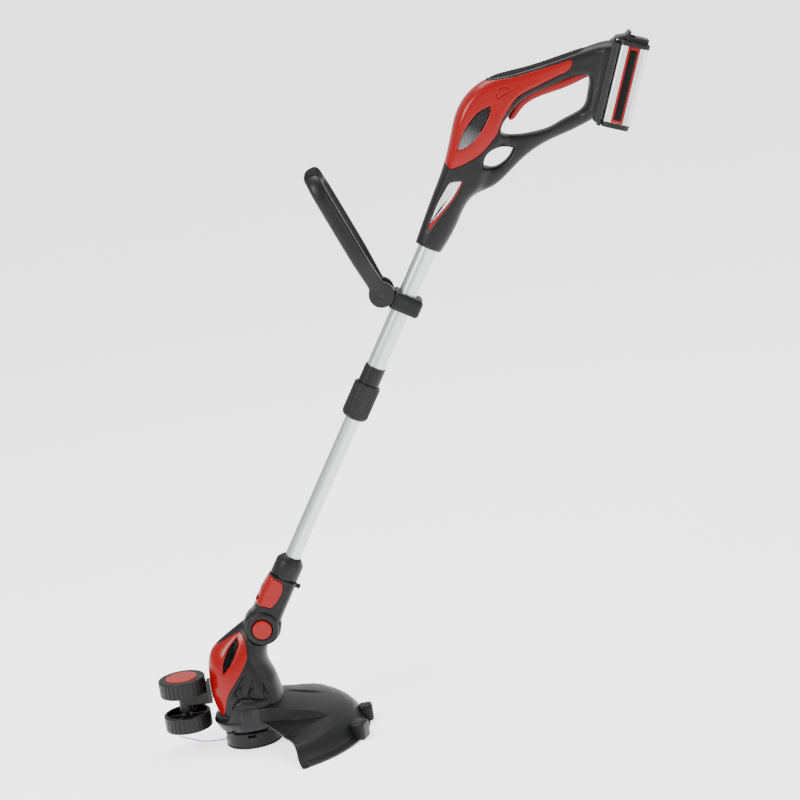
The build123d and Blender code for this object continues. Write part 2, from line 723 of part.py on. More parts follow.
# soft strip along the top of the grip
with BuildSketch(side) as grip_outline:
    with BuildLine():
        Spline((-22, 955), (4, 979), (24, 994.5), (60, 1026.5), (96, 1058))
        Line((96, 1058), (92, 1050))
        Spline((92, 1050), (60, 1019), (24, 988), (6, 974), (-22, 955))
    make_face()
with BuildPart() as grip_zone:
    add(extrude(grip_outline.sketch, amount=14, both=True, mode=Mode.PRIVATE))
with BuildPart() as soft_grip:
    add(handle_body.part)
    add(grip_zone.part, mode=Mode.INTERSECT)
save(soft_grip, "soft_grip")

with BuildPart() as badge_zone:
    with BuildSketch(side):
        with BuildLine():
            Spline((-11, 784), (2, 790), (6, 793))
            Spline((6, 793), (2, 745), (-8, 715), (-13, 703))
            Spline((-13, 703), (-15, 740), (-11, 784))
        make_face()
    extrude(amount=40, both=True)
    with BuildSketch(at(690.0)):
        Circle(20.9)
    extrude(amount=120, mode=Mode.SUBTRACT)
with BuildPart() as badge_plates:
    add(handle_body.part)
    add(badge_zone.part, mode=Mode.INTERSECT)
save(badge_plates, "badge_plates")

trigger_pin_at = (116.0, 1030.0)
trigger_pin_r = 2.0
with BuildSketch(side) as trigger_pocket_outline:
    with BuildLine():
        Polyline((124, 1020), (112, 1012), (77, 980), (53, 954), (42, 936), (34, 906), (26, 912), (29, 945),
                 (42, 970), (64, 996), (100, 1030), (110, 1041), (123, 1041), close=True)
    make_face()
trigger_half = 8.0
screw_spots = [(8, 712, 20.5), (10, 800, 23), (66, 838, 14), (118, 930, 14), (99, 1042, 18.5)]
with BuildPart() as screw_zone:                             # across, up the shaft, head's face
    for across, up, face in screw_spots:
        with BuildSketch(side.offset(-face)):
            with Locations((across, up)):
                Circle(3.0)
        extrude(amount=5.0)
button_slot = extrude(button_outline.sketch, amount=40, mode=Mode.PRIVATE)
with BuildPart() as handle_case:
    add(handle_body.part)
    add(panel_zone.part, mode=Mode.SUBTRACT)
    add(grip_zone.part, mode=Mode.SUBTRACT)
    add(badge_zone.part, mode=Mode.SUBTRACT)
    add(extrude(trigger_pocket_outline.sketch, amount=trigger_half + clearance, both=True, mode=Mode.PRIVATE),
        mode=Mode.SUBTRACT)
    add(button_slot, mode=Mode.SUBTRACT)
    add(screw_zone.part, mode=Mode.SUBTRACT)
with BuildPart() as handle_shell_left:
    add(handle_case.part)
    split(bisect_by=Plane.XZ, keep=Keep.TOP)
save(handle_shell_left, "handle_shell_left")
with BuildPart() as handle_shell_right:
    add(handle_case.part)
    split(bisect_by=Plane.XZ, keep=Keep.BOTTOM)
save(handle_shell_right, "handle_shell_right")

# ---------------------------------------------------------------- trigger, lock-off, switch, board
with BuildPart() as trigger:
    with BuildSketch(side):
        with BuildLine():
            Spline((121, 1021), (94, 990), (62, 960), (49, 943), (43, 922), (38, 911))
            Spline((38, 911), (32, 914), (36, 938), (47, 961), (71, 988), (104, 1022), (112, 1034))
            Line((112, 1034), (119, 1035))
            Line((119, 1035), (121, 1021))
        make_face()
    extrude(amount=trigger_half, both=True)
    with BuildSketch(side):
        with Locations(trigger_pin_at):
            Circle(trigger_pin_r + running)
    extrude(amount=trigger_half, both=True, mode=Mode.SUBTRACT)
save(trigger, "trigger")

with BuildPart() as trigger_pin:
    with BuildSketch(side):
        with Locations(trigger_pin_at):
            Circle(trigger_pin_r)
    extrude(amount=trigger_half + clearance, both=True)
save(trigger_pin, "trigger_pin")

with BuildPart() as trigger_switch:
    with BuildSketch(side):
        with Locations(Location((52, 994, 0), (0, 0, 48))):
            Rectangle(26.0, 11.0)
    extrude(amount=7.0, both=True)
save(trigger_switch, "trigger_switch")

with BuildPart() as control_board:
    with BuildSketch(side):
        with Locations(Location((-16, 915, 0), (0, 0, 84))):
            Rectangle(52.0, 1.6)
    extrude(amount=16.0, both=True)
    with BuildSketch(side):
        with Locations(Location((-12.6, 915, 0), (0, 0, 84))):
            Rectangle(12.0, 5.2)
    extrude(amount=8.0, both=True)
save(control_board, "control_board")

button_in, button_out = 9.0, 25.6
with BuildPart() as lock_off_button:
    add(extrude(offset(button_outline.sketch, -clearance / 1.5, mode=Mode.PRIVATE), amount=button_out,
                mode=Mode.PRIVATE))
    with BuildSketch(side):
        Rectangle(2000, 2000)
    extrude(amount=button_in, mode=Mode.SUBTRACT)
save(lock_off_button, "lock_off_button")

with BuildPart() as handle_screws:
    add(screw_zone.part)
save(handle_screws, "handle_screws")

# ---------------------------------------------------------------- battery dock and battery
batt_half = 26.0                                            # half width, left to right
batt_depth, batt_len = 45.0, 121.0
rail_web, rail_flange = 6.0, 11.0
rail_gap = 0.6
catch_half, latch_half = 18.0, 16.0
with BuildPart() as battery_dock:
    with BuildSketch(batt.offset(dock_foot)):
        with Locations(((dock_front + dock_rear) / 2, 0)):
            RectangleRounded(dock_rear - dock_front, 2 * batt_half, 3.0)
    extrude(amount=dock_top - dock_foot)
    with BuildSketch(batt.offset(12.0)):                    # pocket for the terminal block
        with Locations((dock_front + 2.0, 0)):
            Rectangle(4.0, 24.0)
    extrude(amount=34.0, mode=Mode.SUBTRACT)
    with BuildSketch(batt.offset(dock_foot)):               # foot lip under the battery
        with Locations((-25.5, 0)):
            Rectangle(6.0, 36.0)
    extrude(amount=-6.0)
    with BuildSketch(batt_side):                            # catch that the latch hooks on
        with BuildLine():
            Polyline((-33.0, dock_top), (-26.0, dock_top), (-27.5, dock_top + 3.5), (-33.0, dock_top + 3.5),
                     close=True)
        make_face()
    extrude(amount=catch_half, both=True)
    with BuildSketch(batt.offset(-0.4)):                    # T-slot for the battery's rail, catch included
        with Locations((-25.0, 0)):
            Rectangle(5.2, 2 * (rail_web + rail_gap))
        with Locations((-29.1, 0)):
            Rectangle(5.4, 2 * (rail_flange + rail_gap))
    extrude(amount=batt_len + 20, mode=Mode.SUBTRACT)
save(battery_dock, "battery_dock")

with BuildPart() as terminal_block:
    with BuildSketch(batt.offset(12.3)):
        with Locations((dock_front + 1.8, 0)):
            Rectangle(3.0, 23.0)
    extrude(amount=33.4)
    with BuildSketch(batt.offset(16.0)):
        with GridLocations(1.0, 8.0, 1, 3):
            with Locations((dock_front + 3.6, 0)):
                Rectangle(1.2, 1.2)
    extrude(amount=24.0)
save(terminal_block, "terminal_block")

case_wall = 2.0
with BuildPart() as battery_case:
    with BuildSketch(batt):
        RectangleRounded(batt_depth, 2 * batt_half, 8.0)
        with Locations((-24.75, 0)):
            Rectangle(5.5, 2 * rail_web)
        with Locations((-29.0, 0)):
            Rectangle(4.0, 2 * rail_flange)
        RectangleRounded(batt_depth - 2 * case_wall, 2 * (batt_half - case_wall), 6.0, mode=Mode.SUBTRACT)
        for flank in (-1, 1):                               # grooves along both sides
            for x in (-16.0, -12.5, 12.0, 15.5):
                with Locations((x, flank * batt_half)):
                    Rectangle(1.4, 1.6, mode=Mode.SUBTRACT)
        for y in (-15.0, -9.0, -3.0, 3.0, 9.0, 15.0):       # grooves along the back
            with Locations((batt_depth / 2, y)):
                Rectangle(1.6, 1.8, mode=Mode.SUBTRACT)
    extrude(amount=batt_len)
save(battery_case, "battery_case")

latch_pin_at = (-14.0, 132.5)
with BuildPart() as battery_top_cap:
    with BuildSketch(batt.offset(batt_len)):
        RectangleRounded(batt_depth + 3, 2 * batt_half + 3, 9.0)
    extrude(amount=7.5)
    fillet(battery_top_cap.faces().sort_by(Axis(batt_foot, batt_dir))[-1].edges(), 2.0)
    with BuildSketch(batt.offset(batt_len + 7.5)):
        with Locations((3.0, 0)):
            RectangleRounded(36.0, 38.0, 5.0)
    extrude(amount=7.0)
    with BuildSketch(batt_side):                            # room for the latch lever
        with Locations((-13.0, 137.0)):
            Rectangle(24.0, 17.0)
    extrude(amount=latch_half + 1.0, both=True, mode=Mode.SUBTRACT)
    with BuildSketch(batt_side):                            # the latch's hinge pin
        with Locations(latch_pin_at):
            Circle(1.5)
    extrude(amount=latch_half + 3.0, both=True)
save(battery_top_cap, "battery_top_cap")

with BuildPart() as battery_bottom_cap:
    with BuildSketch(batt.offset(-9.0)):
        RectangleRounded(batt_depth - 3, 2 * batt_half - 2, 8.0)
    with BuildSketch(batt.offset(-0.05)):
        RectangleRounded(batt_depth, 2 * batt_half, 8.0)
    loft()
save(battery_bottom_cap, "battery_bottom_cap")

cell_r, cell_len = 9.2, 58.0
with BuildPart() as battery_cells:
    for level in (1.5, 61.5):
        with BuildSketch(batt.offset(level)):
            with GridLocations(2 * cell_r + 0.8, 2 * cell_r + 0.8, 2, 2):
                Circle(cell_r)
        extrude(amount=cell_len)
save(battery_cells, "battery_cells")

with BuildPart() as battery_labels:
    for flank in (-1, 1):
        with BuildSketch(batt_side.offset(flank * batt_half + min(0, flank) * 0.6)):
            with Locations((0, batt_len / 2)):
                Rectangle(19.0, batt_len - 1)
        extrude(amount=0.6)
save(battery_labels, "battery_labels")

with BuildPart() as battery_latch:
    with BuildSketch(batt_side):
        with BuildLine():
            Polyline((-10.5, 130.0), (-9.0, 142.5), (-12.0, 143.5), (-16.5, 135.6), (-29.0, 130.6), (-32.0, 127.0),
                     (-31.0, 126.2), (-23.0, 129.2), (-16.0, 129.4), close=True)
        make_face()
    extrude(amount=latch_half, both=True)
    with BuildSketch(batt_side):
        with Locations(latch_pin_at):
            Circle(1.5 + running)
    extrude(amount=latch_half, both=True, mode=Mode.SUBTRACT)
save(battery_latch, "battery_latch")

# ---------------------------------------------------------------- front handle
hub_across, hub_s = -39.0, 581.0
hub_in, hub_out = 15.0, 28.0                                # the loop's hubs, left and right
hub_r_outer = 20.5
clamp_low, clamp_high = 566.0, 595.0
with BuildPart() as clamp_block:
    with BuildSketch(side):
        with Locations((4.0, (clamp_low + clamp_high) / 2)):
            RectangleRounded(48.0, clamp_high - clamp_low, 4.0)
    extrude(amount=26.0, both=True)
    with BuildSketch(side):
        with Locations((-28.0, (clamp_low + clamp_high) / 2)):
            Rectangle(22.0, clamp_high - clamp_low)
        with Locations((hub_across, hub_s)):
            Circle(14.0)
    extrude(amount=hub_in - 0.6, both=True)
    with BuildSketch(at(clamp_low)):
        Circle(upper_tube_r + running)
    extrude(amount=clamp_high - clamp_low, mode=Mode.SUBTRACT)
    with BuildSketch(side):
        with Locations((hub_across, hub_s)):
            Circle(4.0)
    extrude(amount=hub_in, both=True, mode=Mode.SUBTRACT)
    with BuildSketch(side):                                 # room for the turning hubs
        with Locations((hub_across, hub_s)):
            Circle(hub_r_outer + 0.8)
    hub_room = extrude(amount=30.0, both=True, mode=Mode.PRIVATE)
    with BuildSketch(side):
        with Locations((hub_across, hub_s)):
            Circle(hub_r_outer + 0.8)
    hub_keep = extrude(amount=hub_in - 0.6, both=True, mode=Mode.PRIVATE)
    add(hub_room - hub_keep, mode=Mode.SUBTRACT)
save(clamp_block, "clamp_block")

with BuildPart() as clamp_bolt:
    with BuildSketch(side.offset(-36.0)):
        with Locations((hub_across, hub_s)):
            Circle(4.0)
    extrude(amount=61.0)
    with BuildSketch(side.offset(24.4)):
        with Locations((hub_across, hub_s)):
            RegularPolygon(6.4, 6)
    extrude(amount=2.8)
save(clamp_bolt, "clamp_bolt")

limb_y, limb_r, loop_len = 46.0, 13.0, 224.0
loop_lean = radians(53.6)                                   # the loop's angle from the shaft
hub_centre = side.from_local_coords(Vector(hub_across, hub_s, 0))
loop_up = across_dir * -sin(loop_lean) + shaft_dir * cos(loop_lean)
loop_plane = Plane(origin=hub_centre, x_dir=(0, 1, 0), z_dir=Vector(0, 1, 0).cross(loop_up))
crown_up = loop_len - limb_r
foot_y, foot_up, limb_foot = 21.5, 16.0, 58.0
grip_half, grip_r, grip_core_r = 17.0, 14.0, 10.5


def grip_cylinder(radius):
    """A plain cylinder along the straight top of the loop."""
    with BuildPart() as rod:
        with BuildSketch(Plane(origin=hub_centre + loop_up * crown_up + Vector(0, -grip_half, 0),
                               x_dir=loop_up, z_dir=(0, 1, 0))):
            Circle(radius)
        extrude(amount=2 * grip_half)
    return rod.part


grip_rod = grip_cylinder(grip_r)
grip_core = grip_cylinder(grip_core_r)
with BuildPart() as aux_loop:
    with BuildLine(loop_plane):
        loop_path = FilletPolyline(
            (-foot_y, foot_up), (-limb_y, limb_foot), (-limb_y, crown_up), (limb_y, crown_up),
            (limb_y, limb_foot), (foot_y, foot_up), radius=28.0)
    with BuildSketch(Plane(origin=loop_path @ 0, z_dir=loop_path % 0)):
        Circle(limb_r)
    sweep()
    for start in (hub_in, -hub_out):
        with BuildSketch(side.offset(start)):
            with Locations((hub_across, hub_s)):
                Circle(hub_r_outer)
            with BuildLine():
                Polyline((hub_across - 15, hub_s + 13), (hub_across - 28, hub_s + 22),
                         (hub_across - 14, hub_s + 38), (hub_across + 4, hub_s + 19), close=True)
            make_face()
        extrude(amount=hub_out - hub_in)
    with BuildSketch(side.offset(-hub_in)):                 # keep clear of the clamp between the hubs
        with Locations((hub_across, hub_s)):
            Circle(40.0)
    extrude(amount=2 * hub_in, mode=Mode.SUBTRACT)
    with BuildSketch(side):
        with Locations((hub_across, hub_s)):
            Circle(4.0 + running)
    extrude(amount=60.0, both=True, mode=Mode.SUBTRACT)
    for start in (hub_out + 0.1, -hub_out - 60.1):          # flat seats for the knob and the bolt's head
        with BuildSketch(side.offset(start)):
            with Locations((hub_across, hub_s)):
                Circle(hub_r_outer)
        extrude(amount=60.0, mode=Mode.SUBTRACT)
    with BuildSketch(side.offset(24.2)):                    # counterbore for the bolt's head
        with Locations((hub_across, hub_s)):
            Circle(7.2)
    extrude(amount=20.0, mode=Mode.SUBTRACT)
with BuildPart() as aux_handle_loop:
    add(aux_loop.part)
    add(grip_rod - grip_core, mode=Mode.SUBTRACT)
save(aux_handle_loop, "aux_handle_loop")

with BuildPart() as aux_grip:
    add(grip_rod)
    add(grip_core, mode=Mode.SUBTRACT)
    for rib in range(-4, 5):                                # ridges round the grip
        with BuildSketch(Plane(origin=hub_centre + loop_up * crown_up + Vector(0, 3.6 * rib - 0.9, 0),
                               x_dir=loop_up, z_dir=(0, 1, 0))):
            Circle(grip_r + 0.8)
            Circle(grip_r - 0.5, mode=Mode.SUBTRACT)
        extrude(amount=1.8)
save(aux_grip, "aux_grip")

knob_in, knob_out, knob_r = 28.6, 43.0, 15.0
with BuildPart() as aux_knob:
    with BuildSketch(side.offset(-knob_out)):
        with Locations((hub_across, hub_s)):
            Circle(knob_r)
        with Locations((hub_across, hub_s)):
            with PolarLocations(knob_r, 6):
                Circle(4.0)
    extrude(amount=knob_out - knob_in)
    fillet(aux_knob.edges().group_by(Axis.Y)[-1], 1.5)
    with BuildSketch(side.offset(-knob_out + 3.0)):
        with Locations((hub_across, hub_s)):
            Circle(4.0 + running)
    extrude(amount=knob_out - knob_in, mode=Mode.SUBTRACT)
save(aux_knob, "aux_knob")
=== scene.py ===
import json
from math import cos, pi, radians, sin

import bmesh
import bpy
import numpy as np
from mathutils import Matrix, Vector
from mathutils.geometry import delaunay_2d_cdt
from mathutils.kdtree import KDTree


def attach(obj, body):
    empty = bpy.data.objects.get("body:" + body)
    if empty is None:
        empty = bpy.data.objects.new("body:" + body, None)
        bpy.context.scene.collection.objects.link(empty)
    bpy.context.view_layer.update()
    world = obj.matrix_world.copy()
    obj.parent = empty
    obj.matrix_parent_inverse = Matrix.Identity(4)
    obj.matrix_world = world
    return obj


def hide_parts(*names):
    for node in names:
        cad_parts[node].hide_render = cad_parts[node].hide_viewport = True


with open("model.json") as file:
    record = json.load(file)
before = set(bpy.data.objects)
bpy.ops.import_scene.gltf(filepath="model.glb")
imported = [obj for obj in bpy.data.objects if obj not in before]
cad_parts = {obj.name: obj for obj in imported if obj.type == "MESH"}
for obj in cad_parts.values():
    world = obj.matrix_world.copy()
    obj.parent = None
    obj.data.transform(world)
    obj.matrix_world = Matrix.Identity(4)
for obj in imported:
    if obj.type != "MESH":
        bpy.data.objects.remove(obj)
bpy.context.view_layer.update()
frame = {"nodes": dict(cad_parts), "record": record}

MM = 0.001                                                  # outlines are drawn in millimetres

# ---------------------------------------------------------------- places taken from the frame
joints = {j["name"]: j for j in frame["record"]["behaviour"]["joints"]}
pivot = np.array(joints["head_tilt"]["pos_m"])
shaft_up = np.array(joints["clamp_position"]["axis"])       # up the shaft
across = np.array([shaft_up[2], 0, -shaft_up[0]])           # rearwards, square to the shaft
batt_up = np.array(joints["battery_release"]["axis"])
batt_across = np.array([batt_up[2], 0, -batt_up[0]])
hub = np.array(joints["aux_handle_swing"]["pos_m"])
left = np.array([0.0, -1.0, 0.0])
batt_tilt = np.arcsin(np.dot(batt_across, shaft_up))
batt_foot_p, batt_foot_s = 189.0, 973.5                     # the battery's foot in the side plane
batt_foot = pivot + MM * (batt_foot_p * across + batt_foot_s * shaft_up)


def on_side(p, s, h):
    """Points of the shaft's side plane: p rearwards, s up the shaft, h to the left."""
    p, s, h = (np.asarray(v, float)[..., None] * MM for v in (p, s, h))
    return pivot + p * across + s * shaft_up + h * left


def on_upright(x, z, h):
    """Points of the upright middle plane: x rearwards, z up, h to the left."""
    return np.stack([np.asarray(x, float), -np.asarray(h, float), np.asarray(z, float)], -1) * MM


def on_ground(x, y, h):
    """Points over the ground: x rearwards, y to the right, h up."""
    return np.stack([np.asarray(x, float), np.asarray(y, float), np.asarray(h, float)], -1) * MM


def on_battery(x, z, h):
    """Points of the battery's own side plane: x rearwards, z up the battery, h to the left."""
    x, z, h = (np.asarray(v, float)[..., None] * MM for v in (x, z, h))
    return batt_foot + x * batt_across + z * batt_up + h * left


def in_batt(x, z):
    """A point of the battery's frame, given in the shaft's side plane."""
    return (batt_foot_p + x * cos(batt_tilt) - z * sin(batt_tilt),
            batt_foot_s + x * sin(batt_tilt) + z * cos(batt_tilt))


# ---------------------------------------------------------------- camera, floor and lights
camera_data = bpy.data.cameras.new("camera")
camera = bpy.data.objects.new("camera", camera_data)
bpy.context.scene.collection.objects.link(camera)
bpy.context.scene.camera = camera
camera_data.lens, camera_data.sensor_width = 135.0, 36.0
rise, turn, roll, reach = radians(13.5), radians(1.5), radians(9.0), 4.78
aim = Vector((0.3209, 0.0, 0.5294))
back = Vector((sin(turn) * cos(rise), -cos(turn) * cos(rise), sin(rise)))
right = Vector((cos(turn), sin(turn), 0))
up = back.cross(right)
eye = aim + back * reach
camera.matrix_world = Matrix((
    (*(right * cos(roll) - up * sin(roll)), 0),
    (*(right * sin(roll) + up * cos(roll)), 0),
    (*back, 0),
    (0, 0, 0, 1),
)).transposed()
camera.location = eye


def material(name):
    """A new material, its node tree and its shader."""
    mat = bpy.data.materials.new(name)
    mat.use_nodes = True
    return mat, mat.node_tree, mat.node_tree.nodes["Principled BSDF"]


floor_mat, _, floor_shader = material("floor_paper")
floor_shader.inputs["Base Color"].default_value = (0.97, 0.97, 0.97, 1)
floor_shader.inputs["Roughness"].default_value = 0.9
floor_shader.inputs["Emission Color"].default_value = (1.0, 1.0, 1.0, 1)
floor_shader.inputs["Emission Strength"].default_value = 1.6
floor_size = 40.0
floor_mesh = bpy.data.meshes.new("floor")
corners = [(x * floor_size, y * floor_size, 0) for x, y in ((-1, -1), (1, -1), (1, 1), (-1, 1))]
floor_mesh.from_pydata(corners, [], [(0, 1, 2, 3)])
floor_mesh.materials.append(floor_mat)
floor = bpy.data.objects.new("floor", floor_mesh)
bpy.context.scene.collection.objects.link(floor)

world = bpy.data.worlds.new("studio")
world.use_nodes = True
world.node_tree.nodes["Background"].inputs["Color"].default_value = (1.0, 1.0, 1.0, 1)
world.node_tree.nodes["Background"].inputs["Strength"].default_value = 1.0
bpy.context.scene.world = world


def softbox(name, place, target, size, power):
    """A rectangular area light that looks at a point."""
    data = bpy.data.lights.new(name, "AREA")
    data.shape, data.size, data.size_y, data.energy = "RECTANGLE", size[0], size[1], power
    lamp = bpy.data.objects.new(name, data)
    lamp.location = place
    lamp.rotation_euler = (Vector(target) - Vector(place)).to_track_quat("-Z", "Y").to_euler()
    bpy.context.scene.collection.objects.link(lamp)


middle = (0.3, 0.0, 0.5)
softbox("key_light", (-1.9, -2.2, 2.6), middle, (1.4, 1.4), 150)
softbox("fill_light", (2.8, -2.0, 1.4), middle, (2.0, 1.6), 40)
softbox("top_light", (0.4, 0.7, 3.2), middle, (2.2, 1.6), 80)

# ---------------------------------------------------------------- the cutting line
line_diameter = 0.002
line_route = [(-44, 0, 10), (-68, -1, 9), (-86, -4, 13), (-103, -8, 21), (-118, -14, 30)]
line_curve = bpy.data.curves.new("cutting_line_cord", "CURVE")
line_curve.dimensions = "3D"
line_spline = line_curve.splines.new("NURBS")
line_spline.points.add(len(line_route) - 1)
for point, spot in zip(line_spline.points, line_route):
    point.co = (spot[0] * MM, spot[1] * MM, spot[2] * MM, 1)
    point.radius = line_diameter / 2
line_spline.order_u = 3
line_spline.use_endpoint_u = True
line_curve.bevel_depth = 1.0                                 # times each point's own radius
line_curve.bevel_resolution = 4
line_curve.resolution_u = 24
line_curve.use_fill_caps = True
cutting_line = bpy.data.objects.new("cutting_line_cord", line_curve)
bpy.context.scene.collection.objects.link(cutting_line)
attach(cutting_line, "spool")
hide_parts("cutting_line")


# ---------------------------------------------------------------- outlines
def smooth(t):
    """A smooth step from 0 at t = 0 to 1 at t = 1."""
    t = np.clip(t, 0, 1)
    return t * t * (3 - 2 * t)


def dome(d, r):
    """A quarter-round: 0 at d = 0, rising upright and level from d = r on."""
    return np.sqrt(np.clip(1 - (1 - np.clip(d / r, 0, 1)) ** 2, 0, 1))


def curve(*points, step=2.5):
    """A natural cubic spline through the points, sampled about every step."""
    p = np.array(points, float)
    if len(p) == 2:
        count = max(2, int(np.ceil(np.linalg.norm(p[1] - p[0]) / step)) + 1)
        return p[0] + np.linspace(0, 1, count)[:, None] * (p[1] - p[0])
    t = np.concatenate([[0], np.cumsum(np.linalg.norm(np.diff(p, axis=0), axis=1))])
    h = np.diff(t)
    n = len(p)
    system, slope = np.eye(n), np.zeros_like(p)
    for i in range(1, n - 1):
        system[i, i - 1:i + 2] = h[i - 1], 2 * (h[i - 1] + h[i]), h[i]
        slope[i] = 6 * ((p[i + 1] - p[i]) / h[i] - (p[i] - p[i - 1]) / h[i - 1])
    bend = np.linalg.solve(system, slope)
    out = []
    for i in range(n - 1):
        count = max(2, int(np.ceil(h[i] / step)))
        u = np.linspace(0, h[i], count + 1)[:-1, None]
        v = h[i] - u
        out.append(bend[i] * v**3 / (6 * h[i]) + bend[i + 1] * u**3 / (6 * h[i])
                   + (p[i] / h[i] - bend[i] * h[i] / 6) * v + (p[i + 1] / h[i] - bend[i + 1] * h[i] / 6) * u)
    return np.vstack(out + [p[-1:]])


def arc(centre, radius, start, end, step=2.5):
    """Points along an arc, angles in degrees."""
    count = max(4, int(abs(radians(end - start)) * radius / step) + 1)
    a = np.radians(np.linspace(start, end, count))
    return np.array(centre) + radius * np.stack([np.cos(a), np.sin(a)], 1)


def loop(*parts):
    """A closed outline from open stretches, each ending where the next begins."""
    points = np.vstack(parts)
    keep = np.linalg.norm(points - np.roll(points, -1, 0), axis=1) > 0.05
    return points[keep]


def between(line, start, end):
    """The stretch of a closed outline from the point nearest start to the point nearest end."""
    i, j = (int(np.argmin(np.linalg.norm(line - np.array(q), axis=1))) for q in (start, end))
    return line[i:j + 1] if i <= j else np.vstack([line[i:], line[:j + 1]])


def inside(points, line):
    """Which points lie inside a closed outline."""
    a, b = line, np.roll(line, -1, 0)
    x, y = points[:, :1], points[:, 1:]
    cut = (a[:, 1] > y) != (b[:, 1] > y)
    at = a[:, 0] + (y - a[:, 1]) * (b[:, 0] - a[:, 0]) / (b[:, 1] - a[:, 1] + 1e-12)
    return np.sum(cut & (x < at), axis=1) % 2 == 1


def distance(points, line, closed=False):
    """The distance from each point to a line of short runs."""
    a, b = (line, np.roll(line, -1, 0)) if closed else (line[:-1], line[1:])
    run = b - a
    length2 = np.sum(run**2, 1) + 1e-12
    out = []
    for some in np.array_split(points, len(points) // 1500 + 1):
        to = some[:, None] - a
        t = np.clip(np.sum(to * run, 2) / length2, 0, 1)
        out.append(np.min(np.linalg.norm(to - t[..., None] * run, axis=2), axis=1))
    return np.concatenate(out)


def depth(points, line):
    """The distance inside a closed outline, negative outside it."""
    return distance(points, line, True) * np.where(inside(points, line), 1, -1)


class Plan:
    """A flat region cut into triangles, finer beside its edges and beside the marked lines."""

    def __init__(self, outline, holes=(), marks=(), grid=4.0, rings=(0.3, 1.0, 2.2, 4.0, 6.5)):
        edges = [outline, *holes]
        points, lines = [], []
        for edge in edges:
            start = len(points)
            points.extend(edge.tolist())
            lines.extend((start + i, start + (i + 1) % len(edge)) for i in range(len(edge)))
        extra = []
        for edge in edges:
            extra.extend(self.beside(edge, True, rings, edges))
        for mark, offsets in marks:
            extra.extend(self.beside(mark, False, offsets, edges))
        low, high = outline.min(0), outline.max(0)
        xs = np.arange(low[0], high[0], grid)
        ys = np.arange(low[1], high[1], grid * 0.87)
        mesh = np.array([(x + (k % 2) * grid / 2, y) for k, y in enumerate(ys) for x in xs])
        mesh = mesh[self.within(mesh, edges)]
        mesh = mesh[np.min([distance(mesh, e, True) for e in edges], axis=0) > 0.5 * grid]
        kept = list(map(tuple, points))
        tree_points = kept + [tuple(q) for q in extra]
        tree = KDTree(len(tree_points))
        for i, q in enumerate(tree_points):
            tree.insert((*q, 0), i)
        tree.balance()
        extra.extend(q for q in mesh if tree.find((*q, 0))[2] > 0.45 * grid)
        verts, _, faces, _, _, _ = delaunay_2d_cdt(
            [Vector(q) for q in kept] + [Vector(q) for q in extra], lines, [], 0, 1e-4)
        self.at = np.array([tuple(v) for v in verts])
        faces = np.array([f for f in faces if len(f) == 3])
        self.faces = faces[self.within(self.at[faces].mean(axis=1), edges)]
        used = np.unique(self.faces)
        renumber = -np.ones(len(self.at), int)
        renumber[used] = np.arange(len(used))
        self.at, self.faces = self.at[used], renumber[self.faces]
        sides = [self.faces[:, ends] for ends in ([0, 1], [1, 2], [2, 0])]
        pairs = np.sort(np.vstack(sides), axis=1)
        unique, counts = np.unique(pairs, axis=0, return_counts=True)
        self.rim = unique[counts == 1]

    @staticmethod
    def within(points, edges):
        """Which points lie in the region."""
        keep = inside(points, edges[0])
        for hole in edges[1:]:
            keep &= ~inside(points, hole)
        return keep

    def beside(self, line, closed, offsets, edges):
        """Rows of points at both sides of a line, none nearer to it than its offset."""
        ahead = np.roll(line, -1, 0) - np.roll(line, 1, 0)
        if not closed:
            ahead[0], ahead[-1] = line[1] - line[0], line[-1] - line[-2]
        normal = np.stack([-ahead[:, 1], ahead[:, 0]], 1) / (np.linalg.norm(ahead, axis=1)[:, None] + 1e-9)
        rows = []
        for offset in offsets:
            for way in (-1, 1):
                row = line + way * offset * normal
                far = distance(row, line, closed) > 0.96 * offset
                clear = np.min([distance(row, e, True) for e in edges], axis=0) > 0.25
                rows.extend(row[far & clear & self.within(row, edges)])
        return rows


def grow(faces, points):
    """The outward direction at each point of a surface."""
    a, b, c = points[faces[:, 0]], points[faces[:, 1]], points[faces[:, 2]]
    face_normal = np.cross(b - a, c - a)
    normal = np.zeros_like(points)
    for k in range(3):
        np.add.at(normal, faces[:, k], face_normal)
    return normal / (np.linalg.norm(normal, axis=1)[:, None] + 1e-12)


def finish_mesh(name, points, faces, body, mats, replaced=(), sharp=38):
    """A piece from points and faces: closed, facing outwards, riding on its body."""
    mesh = bpy.data.meshes.new(name)
    mesh.from_pydata([tuple(p) for p in points], [], [tuple(int(i) for i in f) for f in faces])
    work = bmesh.new()
    work.from_mesh(mesh)
    bmesh.ops.remove_doubles(work, verts=work.verts, dist=2e-6)
    bmesh.ops.dissolve_degenerate(work, edges=work.edges, dist=1e-6)
    bmesh.ops.recalc_face_normals(work, faces=work.faces)
    if work.calc_volume(signed=True) < 0:
        bmesh.ops.reverse_faces(work, faces=work.faces)
    work.to_mesh(mesh)
    work.free()
    mesh.polygons.foreach_set("use_smooth", [True] * len(mesh.polygons))
    mesh.set_sharp_from_angle(angle=radians(sharp))
    piece = bpy.data.objects.new(name, mesh)
    bpy.context.scene.collection.objects.link(piece)
    mesh.materials.append(mats)
    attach(piece, body)
    if replaced:
        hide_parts(*replaced)
    return piece


